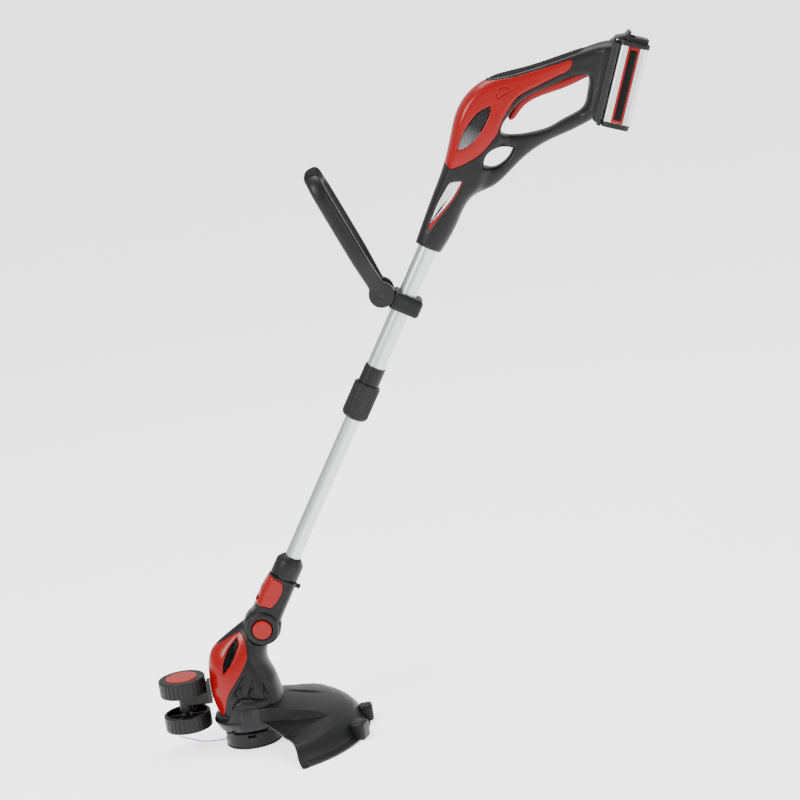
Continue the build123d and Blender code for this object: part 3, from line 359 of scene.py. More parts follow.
def relief(name, plan, top, bottom, place, body, mat, lift=0.0, side=1, replaced=(), sharp=38):
    """A closed piece from a plan: raised to top, backed at bottom, its face moved out by lift."""
    p, s = plan.at[:, 0], plan.at[:, 1]
    face = place(p, s, side * top)
    tri = plan.faces
    out = grow(tri, face)
    if np.sum(out @ (place(0, 0, side) - place(0, 0, 0))) < 0:
        out = -out
    face = face + out * (np.asarray(lift) * MM)[..., None]
    rear = place(p, s, side * (np.zeros_like(p) + bottom))
    count = len(p)
    faces = [tuple(f) for f in tri] + [tuple(f[::-1] + count) for f in tri]
    directed = {(a, b) for f in tri for a, b in ((f[0], f[1]), (f[1], f[2]), (f[2], f[0]))}
    for a, b in plan.rim:
        a, b = (a, b) if (a, b) in directed else (b, a)
        faces.append((b, a, a + count, b + count))
    return finish_mesh(name, np.vstack([face, rear]), faces, body, mat, replaced, sharp)


def lathe(name, profile, centre, axis, body, mat, replaced=(), turns=72, sharp=38):
    """A closed ring or disc turned about an axis; its (radius, height) profile may change with the angle."""
    axis = np.array(axis, float) / np.linalg.norm(axis)
    u = np.cross(axis, [0.0, 1.0, 0.0] if abs(axis[1]) < 0.9 else [1.0, 0.0, 0.0])
    u /= np.linalg.norm(u)
    v = np.cross(axis, u)
    rows = []
    for k in range(turns):
        a = 2 * pi * k / turns
        spoke = u * cos(a) + v * sin(a)
        rows.append([np.array(centre) + MM * (r * spoke + z * axis)
                     for r, z in (profile(a) if callable(profile) else profile)])
    points = np.array(rows).reshape(-1, 3)
    n = len(rows[0])
    faces = []
    for k in range(turns):
        here, ahead = k * n, (k + 1) % turns * n
        for i in range(n):
            j = (i + 1) % n
            faces.append((here + i, here + j, ahead + j, ahead + i))
    return finish_mesh(name, points, faces, body, mat, replaced, sharp)


# ---------------------------------------------------------------- materials
def textured(name, colour, roughness, spread=0.12, grain=900, grain_depth=0.00004, metallic=0.0, coat=0.0,
             streak=None, edge_sheen=0.0, mottle=9.0, shine=0.5):
    """A moulded or metal surface: mottled colour, uneven roughness, fine grain and a painted highlight on
    convex edges.
    """
    mat, tree, shader = material(name)
    nodes, links = tree.nodes, tree.links
    shader.inputs["Metallic"].default_value = metallic
    shader.inputs["Coat Weight"].default_value = coat
    shader.inputs["Specular IOR Level"].default_value = shine
    shader.inputs["Coat Roughness"].default_value = 0.08
    place = nodes.new("ShaderNodeTexCoord").outputs["Object"]
    if streak is not None:                                  # draws the pattern out along one direction
        mapping = nodes.new("ShaderNodeMapping")
        turned = Vector(streak).to_track_quat("Z", "Y").to_euler()
        undo = nodes.new("ShaderNodeVectorRotate")
        undo.rotation_type, undo.invert = "EULER_XYZ", True
        undo.inputs["Rotation"].default_value = turned
        links.new(place, undo.inputs["Vector"])
        mapping.inputs["Scale"].default_value = (1.0, 1.0, 0.012)
        links.new(undo.outputs["Vector"], mapping.inputs["Vector"])
        place = mapping.outputs["Vector"]
    broad = nodes.new("ShaderNodeTexNoise")
    broad.inputs["Scale"].default_value = mottle
    broad.inputs["Detail"].default_value = 5.0
    links.new(place, broad.inputs["Vector"])
    tint = nodes.new("ShaderNodeValToRGB")
    tint.color_ramp.elements[0].position, tint.color_ramp.elements[1].position = 0.3, 0.7
    for stop, factor in zip(tint.color_ramp.elements, (1 - spread, 1 + spread)):
        stop.color = (*[min(1.0, c * factor) for c in colour], 1)
    links.new(broad.outputs["Fac"], tint.inputs["Fac"])
    colour_out = tint.outputs["Color"]
    if edge_sheen:                                                # painted highlight: convex edges get a lighter colour, as if catching more light
        edge = nodes.new("ShaderNodeMapRange")
        edge.inputs["From Min"].default_value, edge.inputs["From Max"].default_value = 0.53, 0.62
        edge.inputs["To Max"].default_value = edge_sheen
        links.new(nodes.new("ShaderNodeNewGeometry").outputs["Pointiness"], edge.inputs["Value"])
        edge_glint = nodes.new("ShaderNodeMix")
        edge_glint.data_type = "RGBA"
        edge_glint.inputs["B"].default_value = (*[min(1.0, c * 2.2 + 0.03) for c in colour], 1)
        links.new(edge.outputs["Result"], edge_glint.inputs["Factor"])
        links.new(colour_out, edge_glint.inputs["A"])
        colour_out = edge_glint.outputs["Result"]
    links.new(colour_out, shader.inputs["Base Color"])
    haze = nodes.new("ShaderNodeMapRange")
    haze.inputs["To Min"].default_value = roughness * 0.85
    haze.inputs["To Max"].default_value = min(1.0, roughness * 1.2)
    links.new(broad.outputs["Fac"], haze.inputs["Value"])
    links.new(haze.outputs["Result"], shader.inputs["Roughness"])
    fine = nodes.new("ShaderNodeTexNoise")
    fine.inputs["Scale"].default_value = grain
    fine.inputs["Detail"].default_value = 3.0
    links.new(place, fine.inputs["Vector"])
    bump = nodes.new("ShaderNodeBump")
    bump.inputs["Strength"].default_value = 0.6
    bump.inputs["Distance"].default_value = grain_depth
    links.new(fine.outputs["Fac"], bump.inputs["Height"])
    links.new(bump.outputs["Normal"], shader.inputs["Normal"])
    return mat


black = textured("black_moulding", (0.0045, 0.0045, 0.0047), 0.40, grain=1100, edge_sheen=0.25, shine=0.20)
black_gloss = textured("black_gloss", (0.0015, 0.0015, 0.0015), 0.30, grain=500, grain_depth=0.00001,
                       shine=0.12)
red = textured("red_gloss_moulding", (0.185, 0.0002, 0.0002), 0.26, spread=0.05, grain=420,
               grain_depth=0.00001, coat=0.06, edge_sheen=0.0, shine=0.2)
rubber = textured("soft_rubber_grip", (0.0035, 0.0035, 0.0037), 0.60, grain=1500, grain_depth=0.00008,
                  edge_sheen=0.15, shine=0.08)
aluminium = textured("drawn_aluminium", (0.52, 0.53, 0.54), 0.30, spread=0.05, metallic=1.0, streak=shaft_up,
                     grain=2600, grain_depth=0.00001, mottle=260.0)
battery_metal = textured("extruded_aluminium", (0.60, 0.61, 0.62), 0.28, spread=0.05, metallic=1.0,
                         streak=batt_up, grain=2600, grain_depth=0.00001, mottle=260.0)
foil = textured("brushed_foil", (0.55, 0.55, 0.56), 0.33, spread=0.10, metallic=0.9, streak=shaft_up,
                grain=4000, grain_depth=0.00001, mottle=700.0)
steel = textured("zinc_steel", (0.40, 0.40, 0.42), 0.30, spread=0.12, metallic=1.0, grain=1800,
                 grain_depth=0.00002, mottle=60.0)
motor_metal = textured("motor_can", (0.40, 0.40, 0.42), 0.38, spread=0.10, metallic=1.0, grain=900,
                       mottle=40.0)
board = textured("circuit_board", (0.02, 0.15, 0.05), 0.35, spread=0.25, grain=1600, mottle=180.0)
cell_sleeve = textured("cell_sleeve", (0.06, 0.26, 0.50), 0.25, spread=0.06, grain=700, coat=0.3)
nylon = textured("nylon_line", (0.17, 0.22, 0.42), 0.28, spread=0.10, grain=3000, grain_depth=0.00003,
                 mottle=120.0)
wheel_black = textured("wheel_moulding", (0.0045, 0.0045, 0.0047), 0.44, grain=1000, edge_sheen=0.3, shine=0.22)
grey_nylon = textured("grey_nylon", (0.26, 0.26, 0.27), 0.45, grain=900, mottle=30.0)
label_black = textured("label_black", (0.003, 0.003, 0.003), 0.30, spread=0.08, grain=2200,
                       grain_depth=0.00001, shine=0.1)
cap_red = textured("cap_red", (0.26, 0.010, 0.006), 0.30, spread=0.06, grain=420, grain_depth=0.00001,
                   coat=0.05, shine=0.15)


def vent_material():
    """Dark grille slats with a painted silver reflection that grows towards the foot of the handle's lens."""
    mat = textured("grille_slats", (0.0015, 0.0015, 0.0015), 0.30, grain=500, grain_depth=0.00001, shine=0.12)
    tree = mat.node_tree
    shader = tree.nodes["Principled BSDF"]
    dark = shader.inputs["Base Color"].links[0].from_socket
    place = tree.nodes.new("ShaderNodeTexCoord").outputs["Object"]
    along = tree.nodes.new("ShaderNodeVectorMath")
    along.operation = "DOT_PRODUCT"
    along.inputs[1].default_value = tuple(shaft_up)
    tree.links.new(place, along.inputs[0])
    reflection_fade = tree.nodes.new("ShaderNodeMapRange")
    foot_at = float(np.dot(pivot, shaft_up)) + 0.838
    reflection_fade.inputs["From Min"].default_value, reflection_fade.inputs["From Max"].default_value = foot_at, foot_at + 0.045
    reflection_fade.inputs["To Min"].default_value, reflection_fade.inputs["To Max"].default_value = 0.5, 0.0
    tree.links.new(along.outputs["Value"], reflection_fade.inputs["Value"])
    # painted reflection: grey mixed into the slats' colour towards the foot of the lens
    reflection_mix = tree.nodes.new("ShaderNodeMix")
    reflection_mix.data_type = "RGBA"
    reflection_mix.inputs["B"].default_value = (0.28, 0.28, 0.29, 1)
    tree.links.new(reflection_fade.outputs["Result"], reflection_mix.inputs["Factor"])
    tree.links.new(dark, reflection_mix.inputs["A"])
    tree.links.new(reflection_mix.outputs["Result"], shader.inputs["Base Color"])
    return mat


grille = vent_material()
by_slot = {
    "black_plastic": black, "red_gloss": red, "aluminium": aluminium, "silver_foil": foil,
    "soft_rubber": rubber, "steel": steel, "grille_dark": black_gloss, "motor_can": motor_metal,
    "board_green": board, "cell_wrap": cell_sleeve, "nylon_line": nylon, "wheel_plastic": wheel_black,
    "nylon_grey": grey_nylon,
}
# near-black steel: painted shade standing in for the dark hole at the clamp hub; the guard screws share it
hole_shade_steel = textured("dark_steel_painted_shade", (0.012, 0.012, 0.013), 0.35, metallic=0.3, grain=1800, mottle=60.0, shine=0.3)
special = {"battery_case": battery_metal, "wheel_cap_upper": cap_red, "wheel_cap_lower": cap_red,
           "clamp_bolt": hole_shade_steel, "guard_screws": hole_shade_steel}
slots = {part["node"]: part["material_slot"] for part in frame["record"]["subparts"]}
for node, obj in frame["nodes"].items():
    finish = special.get(node, by_slot[slots[node]])
    obj.data.materials.clear()
    obj.data.materials.append(finish)
cutting_line.data.materials.append(nylon)

# ---------------------------------------------------------------- handle: outlines (side plane, mm)
foot_s = 676.0
dock_front = -35.5
dock_low, dock_high = in_batt(dock_front, -4.0), in_batt(dock_front, 122.0)
underside = curve((21.5, foot_s), (27, 727), (33, 779), (56, 807), (66, 827), (81, 866), (108, 908),
                  (131, 933), dock_low)
topside = curve(dock_high, (119, 1079), (103, 1065), (86, 1050), (24, 995), (-23, 955), (-40, 925),
                (-45, 890), (-39, 853), (-30, 805), (-27, 760), (-21.5, foot_s))
handle_loop = loop(curve((-21.5, foot_s), (21.5, foot_s)), underside, curve(dock_low, dock_high), topside)
hand_loop = loop(
    curve((31, 913), (29, 900), (34, 888), (46, 890), (83, 912), (99, 926), (113, 945), (128, 964),
          (134, 976), (131, 997), (124, 1018), (120, 1024)),
    curve((120, 1024), (110, 1019), (73, 985), (49, 959), (38, 940), (31, 913)))
small_loop = loop(curve((28, 829), (25, 845), (31, 859), (46, 870), (59, 874)),
                  curve((59, 874), (59, 862), (53, 845), (42, 833), (28, 829)))
bulge_edge = curve((21.5, foot_s), (26, 727), (28, 790), (28, 845), (36, 900), (46, 936), (60, 957),
                   (84, 982), (126, 1016))
bulge_loop = loop(curve((-21.5, foot_s), (21.5, foot_s)), bulge_edge, curve((126, 1016), dock_high), topside)

panel_seam = curve((-24.5, 953), (-9, 962.5), (16, 979), (43, 1001), (79, 1032), (86, 1036), (89, 1030),
                   (87, 1018), (77, 1005), (61, 986), (43, 965), (33, 951), (28, 931), (26, 912), (27, 892),
                   (24, 874), (15, 846), (4, 829), (-11, 812), (-21, 806), (-29, 810))
panel_ridge = curve((80, 1014), (61, 993), (43, 974), (31, 957), (22, 935), (18, 912), (17, 890), (12, 868),
                    (1, 845), (-13, 826), (-24, 818))
facet_loop = loop(panel_ridge, between(panel_seam, panel_ridge[0], panel_ridge[-1])[::-1])
panel_loop = loop(panel_seam, between(topside[::-1], panel_seam[-1], panel_seam[0]))
lens_loop = loop(curve((-1, 922), (3, 905), (2, 887), (-3, 862), (-10, 847), (-20, 838)),
                 curve((-20, 838), (-23, 852), (-23, 872), (-20, 891), (-14, 907), (-1, 922)))
button_loop = loop(curve((4.5, 937.5), (16.5, 955)),
                   curve((16.5, 955), (13, 957.5), (7, 956.5), (2, 951.5), (0.3, 945), (1.3, 939.5),
                         (4.5, 937.5)))
grip_loop = loop(curve((-22, 957), (6, 976), (24, 990), (60, 1021), (92, 1051)),
                 curve((92, 1051), (97, 1059)), between(topside, (97, 1059), (-22, 957)))
badge_loop = loop(curve((-11, 786), (-3, 792), (7, 796)),
                  curve((7, 796), (4, 762), (-2, 738), (-8, 716), (-13, 702)),
                  curve((-13, 702), (-15, 722), (-15, 757), (-11, 786)))
badge_split = curve((4.5, 795), (0.8, 762), (-6, 738), (-12.5, 720), (-14.6, 715))
crease_dock = curve((118, 1078), (132, 1035), (152, 979), (160, 962))
groove_dock = curve((133, 1085), (153, 981))
width_at = [(foot_s, 21.5), (760, 22), (820, 25.5), (890, 27), (950, 23), (1000, 19), (1045, 19), (1075, 23),
            (1095, 26)]
round_at = [(foot_s, 21), (760, 17), (830, 15), (1100, 14)]
blur_s = 12.0                                               # how far up and down the width is averaged
strut_half, dock_half = 15.0, 25.5
seam = 0.12                                                 # half the gap between left and right shells


def handle_half(points):
    """Half the handle's thickness at each point of the side plane."""
    p, s = points[:, 0], points[:, 1]
    width = np.interp(s, *zip(*width_at))
    low, high = (np.interp(s + d, *zip(*width_at)) for d in (-blur_s, blur_s))
    width = (width + low + high) / 3
    away = np.where(inside(points, bulge_loop), 0, distance(points, bulge_loop, True))
    width = width + (strut_half - width) * smooth(away / 15)
    x_batt = (p - batt_foot_p) * cos(batt_tilt) + (s - batt_foot_s) * sin(batt_tilt)
    width = width + (dock_half - width) * smooth((x_batt - dock_front + 22) / 20)
    outer = dome(distance(points, underside), np.interp(s, *zip(*round_at)))
    outer = outer * dome(distance(points, topside), np.interp(s, *zip(*round_at)))
    rim = 0.35 + 0.65 * dome(distance(points, hand_loop, True), 7.0)
    rim = rim * (0.4 + 0.6 * dome(distance(points, small_loop, True), 6.0))
    foot = 0.7 + 0.3 * dome(s - foot_s, 5.0)
    return width * outer * rim * foot


def panel_face(points):
    """How far the red panel's face stands off the handle's surface: rounded edges, ridge and lens rim."""
    edge = distance(points, panel_seam)
    off = -1.1 * (1 - dome(edge, 1.4))
    below = distance(points, panel_ridge)
    off = off - 1.3 * below / np.maximum(edge + below, 1e-6) * inside(points, facet_loop)
    off = off - 1.2 * (1 - dome(distance(points, lens_loop, True), 2.2))
    return off


# ---------------------------------------------------------------- handle: pieces
shell_marks = [
    (panel_seam, (0.25, 0.8)), (badge_loop, (0.4, 1.2, 2.6)), (groove_dock, (0.3, 0.8)),
    (crease_dock, (0.4,)), (grip_loop, (0.3,)), (lens_loop, (0.5, 1.2)),
]
shell_plan = Plan(handle_loop, [hand_loop, small_loop], shell_marks, grid=4.0)
shell_top = handle_half(shell_plan.at)
in_panel = depth(shell_plan.at, panel_loop)
in_badge = depth(shell_plan.at, badge_loop)
shell_lift = (
    -1.5 * smooth((in_panel + 0.3) / 0.55)
    - 1.0 * smooth((in_badge + 2.6) / 2.2)
    - 4.5 * smooth(depth(shell_plan.at, lens_loop) / 1.2)
    - 0.7 * (1 - smooth(distance(shell_plan.at, groove_dock) / 0.9))
    - 0.5 * (1 - smooth(distance(shell_plan.at, crease_dock) / 1.2))
    - 0.5 * smooth((depth(shell_plan.at, grip_loop) + 0.25) / 0.5))
for name, way in (("left", 1), ("right", -1)):
    relief(f"handle_shell_{name}_skin", shell_plan, shell_top + seam, seam, on_side, "handle",
           black, shell_lift, way, (f"handle_shell_{name}",))

for name, way in (("left", 1), ("right", -1)):
    gaps = [lens_loop, button_loop] if way == 1 else [lens_loop]
    panel_plan = Plan(panel_loop, gaps, [(panel_ridge, (0.2, 1.0))], grid=3.2, rings=(0.3, 0.8, 1.5, 3.0))
    lift = panel_face(panel_plan.at)
    if way == 1:
        lift = lift - 1.1 * (1 - dome(distance(panel_plan.at, button_loop, True), 1.6))
    half = handle_half(panel_plan.at) + seam
    relief(f"side_panel_{name}_skin", panel_plan, half, np.maximum(half - 2.4, seam), on_side, "handle",
           red, lift, way, (f"side_panel_{name}",))

lens_plan = Plan(lens_loop, grid=1.1, rings=(0.3, 0.9))
lens_axis = np.array([0.24, 0.97])                          # the slats run along the lens
lens_across = lens_plan.at @ np.array([lens_axis[1], -lens_axis[0]])
slat_pitch = 3.4
slats = 1.3 * np.abs(np.sin(pi * (lens_across + 0.02 * lens_plan.at[:, 1]) / slat_pitch))
for name, way in (("left", 1), ("right", -1)):
    half = handle_half(lens_plan.at)
    relief(f"handle_vent_{name}", lens_plan, half, half - 4.0, on_side, "handle", grille,
           -2.9 + slats, way, ("handle_vent_grilles",) if way == 1 else ())

button_plan = Plan(button_loop, grid=2.0, rings=(0.3, 0.8, 1.4))
button_edge = distance(button_plan.at, button_loop, True)
button_half = handle_half(button_plan.at) + seam
relief("lock_off_button_skin", button_plan, button_half, button_half - 8.0, on_side, "lock_off",
       red, 1.1 - 1.3 * (1 - dome(button_edge, 1.6)), 1, ("lock_off_button",))

grip_plan = Plan(grip_loop, grid=2.4, rings=(0.3, 0.8, 1.6))
grip_half = handle_half(grip_plan.at) + seam
grip_seam = np.vstack([curve((-22, 957), (6, 976), (24, 990), (60, 1021), (92, 1051)), [(97, 1059)]])
grip_lift = 0.5 - 0.9 * (1 - dome(distance(grip_plan.at, grip_seam), 1.4))
along_grip = grip_plan.at @ np.array([0.76, 0.65])
grip_lift = grip_lift + 0.15 * np.sin(2 * pi * along_grip / 4.0)
for name, way in (("left", 1), ("right", -1)):
    relief(f"soft_grip_{name}", grip_plan, grip_half, np.maximum(grip_half - 3.0, seam), on_side, "handle",
           rubber, grip_lift, way, ("soft_grip",) if way == 1 else ())

silver_loop = loop(badge_split[::-1], curve((-14.6, 715), (-15.2, 725), (-15, 757), (-11, 786)),
                   curve((-11, 786), (-3, 792), (4.5, 795)))
strip_loop = loop(curve((7, 796), (4, 762), (-2, 738), (-8, 716), (-13, 702)),
                  curve((-13, 702), (-14.2, 714)), badge_split[::-1] + np.array([0.35, 0]))
for part, line, finish, slot in (("foil", silver_loop, foil, "silver_foil"),
                                 ("strip", strip_loop, red, "red_gloss")):
    badge_plan = Plan(line, grid=2.4, rings=(0.3, 0.9))
    badge_half = handle_half(badge_plan.at) + seam
    badge_lift = -0.55 - 0.3 * (1 - dome(distance(badge_plan.at, line, True), 0.9))
    for name, way in (("left", 1), ("right", -1)):
        relief(f"badge_{part}_{name}", badge_plan, badge_half, badge_half - 2.0, on_side, "handle",
               finish, badge_lift, way, ("badge_plates",) if way == 1 and part == "foil" else ())

trigger_loop = loop(
    curve((121, 1021), (94, 990), (62, 960), (50, 943), (44, 922), (41, 914), (37, 911), (33, 914)),
    curve((33, 914), (36, 938), (47, 961), (71, 988), (104, 1022), (112, 1034)),
    curve((112, 1034), (119, 1035)), curve((119, 1035), (121, 1021)))
trigger_plan = Plan(trigger_loop, grid=2.4, rings=(0.3, 0.8, 1.6, 2.8))
trigger_half = 8.0 * (0.35 + 0.65 * dome(distance(trigger_plan.at, trigger_loop, True), 3.5))
relief("trigger_skin", trigger_plan, trigger_half, -trigger_half, on_side, "trigger", red,
       0.0, 1, ("trigger",))

# ---------------------------------------------------------------- head: outlines (upright plane, mm)
head_pivot = (pivot[0] / MM, pivot[2] / MM)
knuckle_r, knuckle_half, cheek_gap_r = 31.0, 17.8, 28.4
front_line = curve((-51, 60), (-55, 79), (-56.5, 113), (-55.5, 132), (-52.5, 149), (-46, 164), (-36, 174.5),
                   (-17, 187.5), (0, 198), (13.5, 206))
rear_line = curve((49.4, 163.5), (45.5, 155), (44, 140), (48, 124), (53, 110), (56, 95), (58.5, 82), (60, 62))
knuckle_line = arc(head_pivot, knuckle_r, 158.5, -79.0)
head_loop = loop(front_line, knuckle_line, rear_line, curve((60, 62), (-51, 60)))
cover_seam = curve((-36, 174.5), (-28, 178), (-14, 184.5), (0, 191), (6.5, 192), (11, 187), (13.5, 170),
                   (12.5, 153), (6, 139), (-3, 126), (-17, 109), (-26, 97), (-33, 82), (-37, 68),
                   (-41, 60.5), (-46, 59), (-51, 60))
cover_loop = loop(cover_seam, between(front_line, (-51, 60), (-36, 174.5)))
head_lens = loop(curve((0, 184), (1, 175), (-4, 162), (-15, 145), (-31, 129)),
                 curve((-31, 129), (-30, 140), (-25, 154), (-14, 171), (0, 184)))
flutes = [loop(curve(apex, low), curve(low, high), curve(high, apex)) for apex, low, high in (
    ((4, 128), (-22, 92), (-8, 90)), ((17, 121), (2, 89), (14, 87)), ((33, 113), (26, 84), (38, 81)))]
side_fold = curve((20, 170), (16, 152), (21, 134), (29, 112), (36, 96))
head_width_at = [(40, 44), (66, 43), (100, 40.5), (145, 33.5), (165, 29.5), (200, 24.5), (230, 22)]


def head_half(points):
    """Half the head's thickness at each point of the upright plane."""
    z = points[:, 1]
    width = np.interp(z, *zip(*head_width_at))
    low, high = (np.interp(z + d, *zip(*head_width_at)) for d in (-14, 14))
    width = (width + low + high) / 3
    half = width * dome(distance(points, front_line), 46.0) * dome(distance(points, rear_line), 24.0)
    radius = np.linalg.norm(points - np.array(head_pivot), axis=1)
    knuckle = knuckle_half * dome(knuckle_r - radius + 1.2, 3.0)
    crown = dome(distance(points, knuckle_line), 6.0)
    beside = np.maximum(half * crown, np.where(radius < knuckle_r, knuckle, 0))
    return np.where(radius < cheek_gap_r, knuckle, beside)


gap_ring = arc(head_pivot, cheek_gap_r, 0, 360)
head_marks = [(cover_seam, (0.25, 0.8)), (gap_ring, (0.2, 1.0)), (side_fold, (0.8, 2.5))]
head_marks += [(flute, (0.4, 1.2)) for flute in (*flutes, head_lens)]
head_plan = Plan(head_loop, marks=head_marks, grid=3.0)
head_top = head_half(head_plan.at)
head_lift = -1.4 * smooth((depth(head_plan.at, cover_loop) + 0.3) / 0.55)
head_lift = head_lift - 7.0 * smooth(depth(head_plan.at, head_lens) / 1.2)
for flute in flutes:
    head_lift = head_lift - 3.6 * smooth((depth(head_plan.at, flute) + 1.0) / 4.6)
head_lift = head_lift - 2.2 * (1 - smooth(distance(head_plan.at, side_fold) / 9.0))
for name, way in (("left", 1), ("right", -1)):
    relief(f"head_shell_{name}_skin", head_plan, head_top + seam, seam, on_upright, "head",
           black, head_lift, way, (f"head_shell_{name}",))

cover_plan = Plan(cover_loop, [head_lens], grid=2.8, rings=(0.3, 0.9, 1.8, 3.2))
cover_top = head_half(cover_plan.at)
cover_lift = (-1.0 * (1 - dome(distance(cover_plan.at, cover_seam), 1.5))
              - 1.6 * (1 - dome(distance(cover_plan.at, head_lens, True), 2.6)))
vent_plan = Plan(head_lens, grid=1.1, rings=(0.3, 0.9))
vent_top = head_half(vent_plan.at)
vent_across = vent_plan.at @ np.array([0.86, -0.50])
vent_slats = 2.2 * np.abs(np.sin(pi * vent_across / 4.0))
for name, way in (("left", 1), ("right", -1)):
    relief(f"head_cover_{name}", cover_plan, cover_top + seam, np.maximum(cover_top - 2.4, seam), on_upright,
           "head", red, cover_lift, way, ("head_cover",) if way == 1 else ())
    relief(f"head_vent_{name}", vent_plan, vent_top, vent_top - 5.0, on_upright, "head",
           black_gloss, -4.6 + vent_slats, way, ("head_vent_grilles",) if way == 1 else ())

lathe("head_base", [(0.5, 35), (45.5, 35), (46.5, 36), (46.5, 50), (0.5, 50)], (0, 0, 0), (0, 0, 1), "head",
      black)

# ---------------------------------------------------------------- neck
ring_r, ring_half, hole_r = 27.5, 30.0, 16.4
neck_left_edge = curve((-27.2, 4), (-26.5, 14), (-26.8, 40), (-27.6, 54), (-25, 80), (-23.5, 87.5))
neck_right_edge = curve((23.5, 87.5), (24, 60), (24.3, 30), (25.6, 10))
neck_loop = loop(neck_left_edge, curve((-23.5, 87.5), (23.5, 87.5)), neck_right_edge,
                 arc((0, 0), ring_r, 21.3, -188.3))
release_loop = loop(curve((-27.0, 50), (-27.6, 54), (-25, 80), (-24.2, 86)), curve((-24.2, 86), (0, 83)),
                    curve((0, 83), (1.5, 81), (1.2, 40), (0, 37)), curve((0, 37), (-24, 33.5)),
                    curve((-24, 33.5), (-26.6, 36), (-27.0, 50)))
hole_loop = arc((0, 0), hole_r, 0, 355)


def neck_half(points):
    """Half the neck's thickness at each point of the side plane."""
    radius = np.linalg.norm(points, axis=1)
    width = np.interp(points[:, 1], [0, 30, 87], [24.5, 24.5, 22.5])
    body = width * dome(distance(points, neck_left_edge), 9.0) * dome(distance(points, neck_right_edge), 9.0)
    ring = ring_half - 6 * (1 - dome(ring_r - radius, 4.0)) - 2.0 * (1 - dome(radius - hole_r, 3.0))
    return np.where(radius < ring_r + 0.05, ring, body)


neck_marks = [(arc((0, 0), ring_r, 20, 160), (0.2, 0.8)), (release_loop, (0.3, 0.9)),
              (arc((0, 0), knuckle_r + 0.7, 25, 155), (0.2,))]
neck_plan = Plan(neck_loop, [hole_loop], neck_marks, grid=2.6, rings=(0.3, 1.0, 2.0, 3.5))
neck_radius = np.linalg.norm(neck_plan.at, axis=1)
neck_top = neck_half(neck_plan.at)
cheek_back = 18.4                                           # the cheeks clear the knuckle between them
neck_back = np.where(neck_radius < knuckle_r + 0.7, cheek_back, seam)
release_sink = -1.6 * smooth((depth(neck_plan.at, release_loop) + 0.5) / 0.6)
for name, way in (("left", 1), ("right", -1)):
    lift = release_sink if way == 1 else 0.0
    relief(f"neck_shell_{name}_skin", neck_plan, np.maximum(neck_top, neck_back) + seam, neck_back, on_side,
           "neck", black, lift, way, (f"neck_shell_{name}",))

release_plan = Plan(release_loop, grid=2.4, rings=(0.3, 0.8, 1.6))
release_top = neck_half(release_plan.at)
release_lift = 0.6 - 1.2 * (1 - dome(distance(release_plan.at, release_loop, True), 1.6))
release_top = np.maximum(release_top, 5.0)
relief("rotation_button_skin", release_plan, release_top, np.clip(release_top - 1.5, 3.5, 17.5), on_side,
       "rotation_button", red, release_lift, 1, ("rotation_button",))

button_r = hole_r - 0.6
lathe("tilt_button_skin", [(0.2, 31.6), (8, 32.0), (button_r - 1.6, 32.6), (button_r - 0.5, 32.2),
                           (button_r, 31.2), (button_r, 21.6), (0.2, 21.6)],
      pivot, (0, -1, 0), "tilt_button", red, ("tilt_button",))
lathe("tilt_cap_right", [(0.2, 29.2), (9, 29.4), (button_r - 1.6, 29.8), (button_r - 0.5, 29.4),
                         (button_r, 28.4), (button_r, 21.6), (0.2, 21.6)],
      pivot, (0, 1, 0), "head", black, ("tilt_bolt",))
lathe("neck_cap_skin", [(12.7, 88.3), (21.6, 88.3), (22.8, 89.6), (23.0, 92), (23.0, 113.5), (22.2, 116.5),
                        (17.5, 122.4), (15.5, 124.6), (14.2, 125), (13.0, 124.2), (12.7, 120)],
      pivot, shaft_up, "lower_tube", black, ("neck_cap",))

# ---------------------------------------------------------------- guard: outline over the ground (mm)
guard_yaw, rim_r = radians(-10), 190.0
dome_at = [(40, 73), (58, 72), (80, 67), (100, 61.5), (120, 56.5), (140, 50.5), (155, 44), (167, 36.5),
           (176, 27), (182, 17), (187, 8), (190, 3)]


def guard_axes(points, back_again=False):
    """Turn ground points into the guard's own axes, or back."""
    c, s = cos(guard_yaw), sin(guard_yaw)
    turn = np.array([[c, s], [-s, c]])
    return points @ (turn if back_again else turn.T)


near_wall = np.array([(-14, -56.5), (20, -58), (70, -60), (110, -61), (132, -62)], float)
near_edge = curve((20, -57), (36, -80), (54, -105), (70, -137), (76, -158))
near_corner = curve((76, -158), (78, -167), (84, -171.5), (92, -167.5))
half_outline = np.vstack([curve((-14, -30), (-14, -52)), curve((-14, -52), (-11, -56.5), (-6, -57)),
                          curve((-6, -57), (20, -57)), near_edge, near_corner])
half_own = guard_axes(half_outline)
start_angle = np.degrees(np.arctan2(half_own[-1, 1], half_own[-1, 0]))
far_own = half_own[::-1] * np.array([1, -1])
rim_line = arc((0, 0), rim_r, start_angle + 0.8, -start_angle - 0.8, step=3.0)
guard_loop = loop(guard_axes(np.vstack([half_own, rim_line, far_own]), back_again=True))
rim_world = guard_axes(rim_line, back_again=True)
fold_near = np.array([(54, -105), (91, -86), (128, -66)], float)


